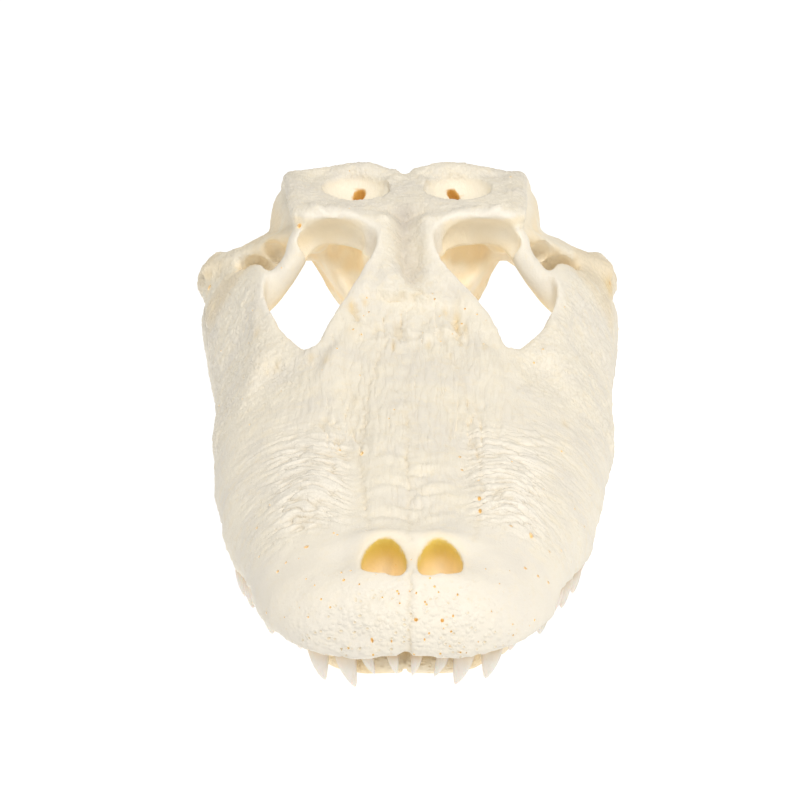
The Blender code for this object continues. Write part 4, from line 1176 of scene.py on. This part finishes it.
upperTeethShape = {
    # nearest the tip, one side: across, along, crown length, radius, outward lean
    "front": (
        (0.013, 0.014, 0.026, 0.0066, -0.1),
        (0.042, 0.017, 0.028, 0.0074, -0.3),
        (0.0645, 0.02, 0.046, 0.012, -0.16),
        (0.094, 0.034, 0.05, 0.0125, -0.06),
        (0.116, 0.062, 0.02, 0.0085, 0.02),
    ),
    # behind those, along the snout's edge: along, crown length, radius
    "cheek": (
        (0.103, 0.018, 0.0085), (0.14, 0.023, 0.0095), (0.175, 0.032, 0.0105),
        (0.213, 0.036, 0.011), (0.254, 0.034, 0.01), (0.293, 0.026, 0.008),
        (0.327, 0.022, 0.0072), (0.36, 0.024, 0.008), (0.395, 0.028, 0.009),
        (0.431, 0.026, 0.0088), (0.466, 0.022, 0.008), (0.498, 0.019, 0.0074),
        (0.529, 0.016, 0.007), (0.558, 0.014, 0.0066), (0.585, 0.012, 0.006),
    ),
    "inset": 0.014,             # middle of the tooth row in from the snout's edge
    "collar": 0.002,
    "flare": 0.12,
    "seed": 7,
}
lowerTeethShape = {
    # along, crown length, radius, across where it isn't on the jaw's line
    "row": (
        (0.0465, 0.026, 0.008, 0.014), (0.052, 0.018, 0.0065, 0.044), (0.072, 0.02, 0.007, 0.066),
        (0.1, 0.034, 0.01, None), (0.135, 0.018, 0.0065, None), (0.168, 0.018, 0.0065, None),
        (0.2, 0.018, 0.0065, None), (0.233, 0.02, 0.007, None), (0.268, 0.022, 0.0075, None),
        (0.305, 0.024, 0.008, None), (0.342, 0.024, 0.0085, None), (0.378, 0.022, 0.008, None),
        (0.413, 0.02, 0.0075, None), (0.447, 0.018, 0.0072, None), (0.48, 0.016, 0.007, None),
        (0.512, 0.014, 0.0068, None), (0.543, 0.012, 0.0064, None),
    ),
    "room": 0.005,              # space below the palate
    "seed": 8,
}


def toothTree(material):
    tree, put, output = shapeTree("toothRow", {
        "Sides": ("Int", 20),
        "Steps": ("Int", 18),
        "Root Share": ("Float", 0.20),      # root below the gum line, of the crown's length
        "Curl": ("Float", 0.30),            # how far the tip leans in, of the crown's length
        "Groove Depth": ("Float", 0.035),   # of the radius
        "Wear": ("Float", 0.00016),         # metres
        "Seed": ("Float", 2.0),
        "Enamel": ("Material", material),
    })
    rod = addNode(tree, "GeometryNodeMeshCylinder", {
        "Vertices": put["Sides"], "Side Segments": put["Steps"], "Radius": 1.0, "Depth": 1.0,
    }, fill_type="TRIANGLE_FAN").outputs["Mesh"]
    x, y, z = parts(tree, made(tree, "GeometryNodeInputPosition"))
    share = plus(tree, z, 0.5)      # 0 at the root's end, 1 at the tip
    level = less(tree, times(tree, share, plus(tree, put["Root Share"], 1.0)), put["Root Share"])
    crown = calc(tree, "MAXIMUM", level, 0.0)
    # full at the neck, slimmer towards a blunt tip
    taper = less(tree, 1.0, calc(tree, "POWER", crown, 1.35))
    taper = calc(tree, "POWER", calc(tree, "MAXIMUM", taper, 0.0), 0.72)
    ribs = calc(tree, "SINE", times(tree, calc(tree, "ARCTAN2", y, x), 9.0))
    radius = times(tree, taper, plus(tree, 1.0, times(tree, ribs, put["Groove Depth"])))
    away = vectorCalc(tree, "SCALE", vector(tree, x, y, 0.0), radius)
    shape = stored(tree, rod, "crown", level)
    shape = stored(tree, shape, "curl", times(tree, crown, crown, put["Curl"]))
    shape = made(tree, "GeometryNodeSetPosition", {
        "Geometry": shape, "Position": vectorCalc(tree, "ADD", away, vector(tree, 0.0, 0.0, level)),
    })
    turn = {"Euler": named(tree, "turn", "FLOAT_VECTOR")}
    row = made(tree, "GeometryNodeInstanceOnPoints", {
        "Points": made(tree, "GeometryNodeMeshToPoints", {"Mesh": put["Geometry"]}),
        "Instance": shape,
        "Rotation": made(tree, "FunctionNodeEulerToRotation", turn),
        "Scale": named(tree, "size", "FLOAT_VECTOR"),
    })
    row = made(tree, "GeometryNodeRealizeInstances", {"Geometry": row})
    row = pushed(tree, row, named(tree, "inward", "FLOAT_VECTOR"), named(tree, "curl"))
    place = vectorCalc(tree, "SCALE", made(tree, "GeometryNodeInputPosition"), 1000.0)
    rough = times(tree, less(tree, noise(tree, place, 0.9, 3.0, 0.6), 0.5), put["Wear"])
    row = pushed(tree, row, made(tree, "GeometryNodeInputNormal"), rough)
    row = made(tree, "GeometryNodeSetShadeSmooth", {"Geometry": row})
    return finishTree(tree, row, put["Enamel"], output)


def tooth(neck, way, inward, length, radius):  # from shares to metres, with its direction of length 1
    way = np.array(way)
    size = skull["length"]
    return toMetres(neck), way / np.linalg.norm(way), np.array(inward), length * size, radius * size


def toothPoints(name, rows):
    rng = np.random.default_rng(len(rows))
    turns = []
    for row in rows:
        turn = Vector(row[1]).to_track_quat("Z", "Y").to_matrix()
        turn = turn @ Matrix.Rotation(rng.uniform(0, 6.28), 3, "Z")
        turns.append(tuple(turn.to_euler()))
    return spots(name, [row[0] for row in rows], {
        "turn": turns,
        "inward": [inward * length for _, _, inward, length, _ in rows],
        "size": [(radius, radius, length) for _, _, _, length, radius in rows],
    })


def upperTeeth():
    rng = np.random.default_rng(upperTeethShape["seed"])
    collar = upperTeethShape["collar"]
    places = list(upperTeethShape["front"])
    for along, length, radius in upperTeethShape["cheek"]:
        across = smoothRun(snoutShape["lines"], [along])[0][0] - upperTeethShape["inset"]
        places.append((across, along, length, radius, upperTeethShape["flare"]))
    rows = []
    for side in (1, -1):
        for across, along, length, radius, flare in places:
            margin = smoothRun(snoutShape["lines"], [along])[0][2]
            length = length * rng.uniform(0.88, 1.08) + collar
            way = (side * flare * 0.75, rng.uniform(-0.08, 0.08), -1.0)
            inward = (-side * 0.35, 0.5 if along < 0.08 else 0.0, 0)
            rows.append(tooth((side * across, along, margin + collar), way, inward, length, radius))
    return toothPoints("upperTeeth", rows)


def lowerTeeth():
    rng = np.random.default_rng(lowerTeethShape["seed"])
    knots = np.array(jawShape["lines"])[:, [1, 0, 2, 3, 4]] / 1000
    rows = []
    for along, length, radius, across in lowerTeethShape["row"]:
        middle, height, _, halfHeight = smoothRun(knots, [along])[0]
        place = middle + jawShape["lean"] * halfHeight if across is None else across
        way = (rng.uniform(-0.10, 0.00), rng.uniform(-0.06, 0.06), 1.0)
        neck = np.array((place, along, height + 0.93 * halfHeight))
        room = min(palateHeight(place + radius, along), palateHeight(place - radius, along)) - neck[2]
        length = min(length * rng.uniform(0.9, 1.08), room - lowerTeethShape["room"])
        for side in (1, -1):
            flip = (side, 1, 1)
            rows.append(tooth(neck * flip, np.multiply(way, flip), (-side * 0.2, 0, 0), length, radius))
    return toothPoints("lowerTeeth", rows)


# materials

tints = {  # linear colours
    "ivory": (0.925, 0.855, 0.715, 1),
    "cool": (0.87, 0.810, 0.700, 1),
    "warm": (0.92, 0.820, 0.630, 1),
    "grey": (0.62, 0.560, 0.480, 1),
    "tan": (0.86, 0.665, 0.360, 1),
    "amber": (0.62, 0.340, 0.080, 1),
    "darkMarkAndShade": (0.76, 0.640, 0.450, 1),
    "goldDeep": (0.80, 0.590, 0.130, 1),
    "goldPale": (0.87, 0.710, 0.450, 1),
    "orange": (0.88, 0.640, 0.280, 1),
    "cream": (0.90, 0.820, 0.660, 1),
    "rim": (0.95, 0.890, 0.780, 1),
    "toothNeck": (0.78, 0.66, 0.50, 1),
    "toothTip": (0.86, 0.80, 0.71, 1),
    "toothBaseDark": (0.60, 0.40, 0.19, 1),
    "toothLine": (0.72, 0.60, 0.44, 1),
}
paintedGlow = {"glow": 0.24, "gold": 0.10, "pit": 0.20, "cream": 0.09}    # painted glow, by mask: emission standing in for light bounced in the hollows and through thin bone
bumpDepth = {  # mask and depth in millimetres
    "wrinkle": ("wrinkle", 0.36),
    "fineWrinkle": ("wrinkle", 0.16),
    "streak": ("streak", 0.10),
    "pebble": ("pebble", 0.09),
    "stipple": ("stipple", -0.25),
    "bead": ("stipple", 0.26),
    "hair": ("hair", 0.055),
}
shadeLevel = {"wrinkle": 0.75, "streak": 0.7, "pebble": 0.6}      # creases below this get painted shade


def newMaterial(name, values):
    material = bpy.data.materials.new(name)
    material.use_nodes = True
    tree = material.node_tree
    shader = tree.nodes["Principled BSDF"].inputs
    for label, value in values.items():
        plug(tree, value, shader[label])
    return material, tree, shader


def mixed(tree, factor, first, second):
    sockets = {0: factor, 6: first, 7: second}
    return addNode(tree, "ShaderNodeMix", sockets, data_type="RGBA", blend_type="MIX").outputs[2]


def marked(tree, name, output="Fac"):
    return addNode(tree, "ShaderNodeAttribute", attribute_name=name).outputs[output]


def bumped(tree, shader, height, strength, distance):
    sockets = {"Strength": strength, "Distance": distance, "Height": height}
    plug(tree, made(tree, "ShaderNodeBump", sockets), shader["Normal"])


def boneMaterial():
    material, tree, shader = newMaterial("bleachedBone", {"Specular IOR Level": 0.42})
    place = addNode(tree, "ShaderNodeTexCoord").outputs["Object"]
    patches = noise(tree, place, 60.0, 2.0, 0.6)
    mottling = noise(tree, place, 320.0, 2.0, 0.6)
    specks = noise(tree, place, 1500.0, 1.0)
    inner = mixed(tree, ramp(tree, patches, 0.32, 0.56), tints["cream"], tints["tan"])
    level = parts(tree, place)["Z"]
    gold = mixed(tree, ramp(tree, level, 0.037, 0.046), tints["goldPale"], tints["goldDeep"])
    gold = mixed(tree, ramp(tree, level, 0.060, 0.065), gold, tints["amber"])
    colour = mixed(tree, ramp(tree, patches, 0.42, 0.66), tints["ivory"], tints["cool"])
    for factor, tint in (
        (times(tree, ramp(tree, mottling, 0.48, 0.72), 0.45), tints["warm"]),
        (marked(tree, "grey"), tints["grey"]),
        (times(tree, marked(tree, "rim"), 0.7), tints["rim"]),
        # painted shade in the relief's low places; the seams and specks below take the same tint as their
        # own dark colour
        (times(tree, ramp(tree, marked(tree, "height"), -2.2, -0.7, 1.0, 0.0), 0.45), tints["darkMarkAndShade"]),
        (times(tree, marked(tree, "seam"), 0.22), tints["darkMarkAndShade"]),
        (marked(tree, "cream"), tints["cream"]),
        (times(tree, marked(tree, "tan"), 0.85), inner),
        (marked(tree, "gold"), gold),
        (marked(tree, "pit"), tints["orange"]),
        (times(tree, ramp(tree, specks, 0.60, 0.75), 0.10), tints["darkMarkAndShade"]),
    ):
        colour = mixed(tree, factor, colour, tint)
    # painted glow: the masked parts emit their own colour
    through = plus(tree, *(times(tree, marked(tree, name), share) for name, share in paintedGlow.items()))
    plug(tree, colour, shader["Emission Color"])
    plug(tree, through, shader["Emission Strength"])
    plug(tree, ramp(tree, mottling, 0.3, 0.7, 0.50, 0.66), shader["Roughness"])
    # the relief again, finer than the mesh can hold, in millimetres
    rest = marked(tree, "warpedRest", "Vector")
    grain = marked(tree, "warpedGrain", "Vector")
    fields = reliefFields(tree, rest, grain)
    fields["fineWrinkle"] = ridges(tree, grain, 1.25, 5.0)
    fields["hair"] = ridges(tree, stretched(tree, rest, 1.2, 0.16, 0.25), 1.0, 5.0)
    terms = [times(tree, noise(tree, rest, 1.4, 2.0, 0.62), 0.12)]
    for name, (mask, depth) in bumpDepth.items():
        terms.append(times(tree, fields[name], marked(tree, mask), depth))
    bumped(tree, shader, plus(tree, *terms), 1.0, 0.001)
    # painted shade in the finer creases
    low = [times(tree, less(tree, top, fields[name]), marked(tree, name)) for name, top in shadeLevel.items()]
    low = calc(tree, "MAXIMUM", plus(tree, *low), 0.0)
    colour = mixed(tree, times(tree, low, 0.26), colour, tints["darkMarkAndShade"])
    dents = times(tree, fields["stipple"], marked(tree, "stipple"), 0.55)
    plug(tree, mixed(tree, dents, colour, tints["tan"]), shader["Base Color"])
    return material


def liningMaterial():
    # the lining glows: painted light inside the pits
    material, tree, shader = newMaterial("pitLining", {"Emission Strength": 0.35, "Roughness": 0.7})
    place = addNode(tree, "ShaderNodeTexCoord").outputs["Object"]
    colour = mixed(tree, noise(tree, place, 900.0, 2.0), tints["goldDeep"], tints["goldPale"])
    plug(tree, colour, shader["Base Color"])
    plug(tree, colour, shader["Emission Color"])
    return material


def enamelMaterial():
    material, tree, shader = newMaterial("toothEnamel", {
        "Roughness": 0.30,
        "Subsurface Weight": 0.35,
        "Subsurface Radius": (1.0, 0.7, 0.45),
        "Subsurface Scale": 0.0012,
    })
    place = addNode(tree, "ShaderNodeTexCoord").outputs["Object"]
    level = marked(tree, "crown")
    drawn = made(tree, "ShaderNodeMapping", {"Vector": place, "Scale": (1.0, 1.0, 0.16)})
    lines = noise(tree, drawn, 1500.0, 3.0, 0.6, 0.2)
    # darker brown towards the tooth's base
    nearBase = times(tree, ramp(tree, level, -0.10, 0.16, 1.0, 0.0), 0.65)
    colour = mixed(tree, ramp(tree, level, 0.0, 0.55), tints["toothNeck"], tints["toothTip"])
    colour = mixed(tree, nearBase, colour, tints["toothBaseDark"])
    colour = mixed(tree, times(tree, ramp(tree, lines, 0.52, 0.7), 0.28), colour, tints["toothLine"])
    plug(tree, colour, shader["Base Color"])
    bumped(tree, shader, lines, 0.5, 0.0001)
    return material


# building the pieces

bone = boneMaterial()
lining = liningMaterial()
enamel = enamelMaterial()
reliefTree = boneReliefTree(bone)
pitAngle = 52                   # degrees; sharper edges stay crisp


def swung(obj):  # puts in the midline's swing
    points = valuesOf(obj.data.vertices, "co")
    across = points[:, 0] / skull["length"]
    along = points[:, 1] / skull["length"] + skull["middle"]
    bridge = band(along, 0.69, 0.745, 0.82, 0.90) * fall(np.abs(across), 0.07, 0.12)
    swing = skull["swing"] * bell(along, skull["swingPlace"], skull["swingSpread"])
    swing = swing + skull["snoutShift"] * bell(along, 0.23, 0.13)
    swing = swing + skull["rightSwell"] * bell(along, 0.43, 0.18) * rise(across, 0.07, 0.20)
    swing = swing + skull["rightCheek"] * rise(across, 0.18, 0.235) * rise(along, 0.40, 0.60)
    swing = swing - skull["rightPinch"] * bell(along, 0.205, 0.085) * rise(across, 0.10, 0.17)
    swing = swing - skull["bridgeShift"] * bridge
    if obj.name.startswith("lower"):
        swing = swing + skull["jawShift"] * rise(along, 0.62, 0.85)
    points[:, 0] += swing * skull["length"]
    if obj.name == "lowerJaw":
        points[:, 2] = np.maximum(points[:, 2], 0.0)    # rests flat on the floor
    obj.data.vertices.foreach_set("co", points.ravel())
    obj.data.update()


def smoothShaded(obj):  # smooth, but crisp round the pits
    obj.data.polygons.foreach_set("use_smooth", np.ones(len(obj.data.polygons), bool))
    if obj.name.startswith("cranium"):
        obj.data.set_sharp_from_angle(angle=math.radians(pitAngle))
    obj.data.update()


def evened(obj):  # smooths the margins of the eye sockets, and the tops of the cheeks much more
    points, normals = boneShares(obj.data)
    side, along, height = np.abs(points[:, 0]), points[:, 1], points[:, 2]
    spot = marginDistance(side, along)
    cheekTop = (side > 0.125) & (side < 0.215) & (along > 0.47) & (along < 0.67)
    cheekTop = cheekTop & (height > 0.065) & (normals[:, 2] > -0.1) & (spot > 0.012)
    margin = (spot < 0.016) & (height > 0.09)
    for name, chosen, repeat in (("margins", margin, 8), ("cheekTops", cheekTop, 120)):
        group = obj.vertex_groups.new(name=name)
        group.add(np.flatnonzero(chosen).tolist(), 1.0, "REPLACE")
        smooth = obj.modifiers.new(name, "SMOOTH")
        smooth.factor = 0.7
        smooth.iterations = repeat
        smooth.vertex_group = name
    settled(obj)


def relieved(obj, triangles):  # the surface's relief, and then fewer triangles
    grown(obj, reliefTree, {**reliefDepth, "Bone": bone})
    thinned(obj, triangles)


def pitChance(mesh):
    _, y, z = boneShares(mesh)[0].T
    outer = valuesOf(mesh.attributes["outer"].data, "value", 1)[:, 0]
    return outer * (0.10 + 0.9 * fall(y, 0.06, 0.16) + 0.35 * bell(y, 0.66, 0.10)) * (z > -0.01)


cranium = fusedBone(
    "cranium",
    [*snoutBones(), *roofBones(), *palateBones(), *cheekBones()],
    firstCutters(),
    [*braincaseBones(), *palateWings(), *cheekBars()],
    secondCutters(),
)
evened(cranium)
print("cranium fused:", len(cranium.data.polygons), "faces")
sculptCranium(cranium.data)
paintCranium(cranium.data)
relieved(cranium, skull["craniumTriangles"])
print("pits:", pitted(cranium, pitChance(cranium.data), lining))

lowerJaw = fusedBone("lowerJaw", jawBones(), jawCutters())
lowerJaw = joined("lowerJaw", [lowerJaw, mirrored("lowerJawLeft", lowerJaw)])
softened(voxelled(lowerJaw, skull["fine"]), 0.5, 4)
paintJaw(lowerJaw.data)
relieved(lowerJaw, skull["jawTriangles"])
print("lower jaw fused:", len(lowerJaw.data.polygons), "faces")

toothRow = toothTree(enamel)
upper = grown(upperTeeth(), toothRow, {"Enamel": enamel})
lower = grown(lowerTeeth(), toothRow, {"Enamel": enamel})
print("teeth:", len(upper.data.polygons), len(lower.data.polygons), "faces")

for piece in (cranium, lowerJaw, upper, lower):
    smoothShaded(piece)
    swung(piece)
    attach(piece, "root")
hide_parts("snout", "braincase", "palate", "cheek_left", "cheek_right")
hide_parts("mandible_left", "mandible_right")

# floor, light and camera

studio = {
    "floorSize": 30.0,          # metres
    "floorDrop": 0.0002,        # below the jaw
    "floorColour": (0.25, 0.25, 0.25, 1),
    "floorGlow": 0.90,
    "white": (1, 1, 1, 1),
    "sky": 0.25,
    "lampSize": 0.8,
    "aim": (0, 0, 0.03),        # point that the lamps face
    "lamps": {  # place, power, colour
        "keyLight": ((0.42, -0.78, 1.70), 24.6, (1.0, 0.985, 0.955)),
        "sideLight": ((1.3, -0.3, 0.7), 1.9, (1.0, 0.98, 0.93)),
        "fillLight": ((-1.2, -0.5, 0.9), 4.0, (1.0, 0.985, 0.955)),
    },
}
view = {
    "elevation": 21.5,          # degrees
    "distance": 4.54,           # shares of the skull's length
    "target": (0.0, 0.5, 0.1),  # shares
    "zoom": 3834.0,             # focal length in pixels
    "middle": (404.5, 400.2),   # pixel that the target falls on
    "pixels": 800,              # across and down
    "sensor": 36,               # millimetres
}

floorMesh = bpy.data.meshes.new("floor")
reach, drop = studio["floorSize"] / 2, -studio["floorDrop"]
corners = [(x * reach, y * reach, drop) for x, y in ((-1, -1), (1, -1), (1, 1), (-1, 1))]
floorMesh.from_pydata(corners, [], [(0, 1, 2, 3)])
floor = linked(bpy.data.objects.new("floor", floorMesh))
paper, _, _ = newMaterial("whitePaper", {
    "Base Color": studio["floorColour"],
    "Roughness": 0.9,
    "Emission Color": studio["white"],
    "Emission Strength": studio["floorGlow"],
})
floorMesh.materials.append(paper)

world = bpy.data.worlds.new("studioSky")
bpy.context.scene.world = world
world.use_nodes = True
background = world.node_tree.nodes["Background"].inputs
background["Color"].default_value = studio["white"]
background["Strength"].default_value = studio["sky"]

for name, (place, power, colour) in studio["lamps"].items():
    lamp = bpy.data.lights.new(name, "AREA")
    lamp.shape = "SQUARE"
    lamp.size = studio["lampSize"]
    lamp.energy = power
    lamp.color = colour
    box = linked(bpy.data.objects.new(name, lamp))
    box.location = place
    box.rotation_euler = (Vector(place) - Vector(studio["aim"])).to_track_quat("Z", "Y").to_euler()

tilt = math.radians(view["elevation"])
back = Vector((0, -math.cos(tilt), math.sin(tilt)))
half = view["pixels"] / 2
lens = bpy.data.cameras.new("camera")
lens.sensor_width = view["sensor"]
lens.lens = view["zoom"] / view["pixels"] * view["sensor"]
lens.shift_x = (half - view["middle"][0]) / view["pixels"]
lens.shift_y = (view["middle"][1] - half) / view["pixels"]
camera = linked(bpy.data.objects.new("camera", lens))
camera.location = Vector(toMetres(view["target"])) + back * view["distance"] * skull["length"]
camera.rotation_euler = (-back).to_track_quat("-Z", "Y").to_euler()
bpy.context.scene.camera = camera
bpy.context.scene.view_settings.view_transform = "Standard"

print("finished")
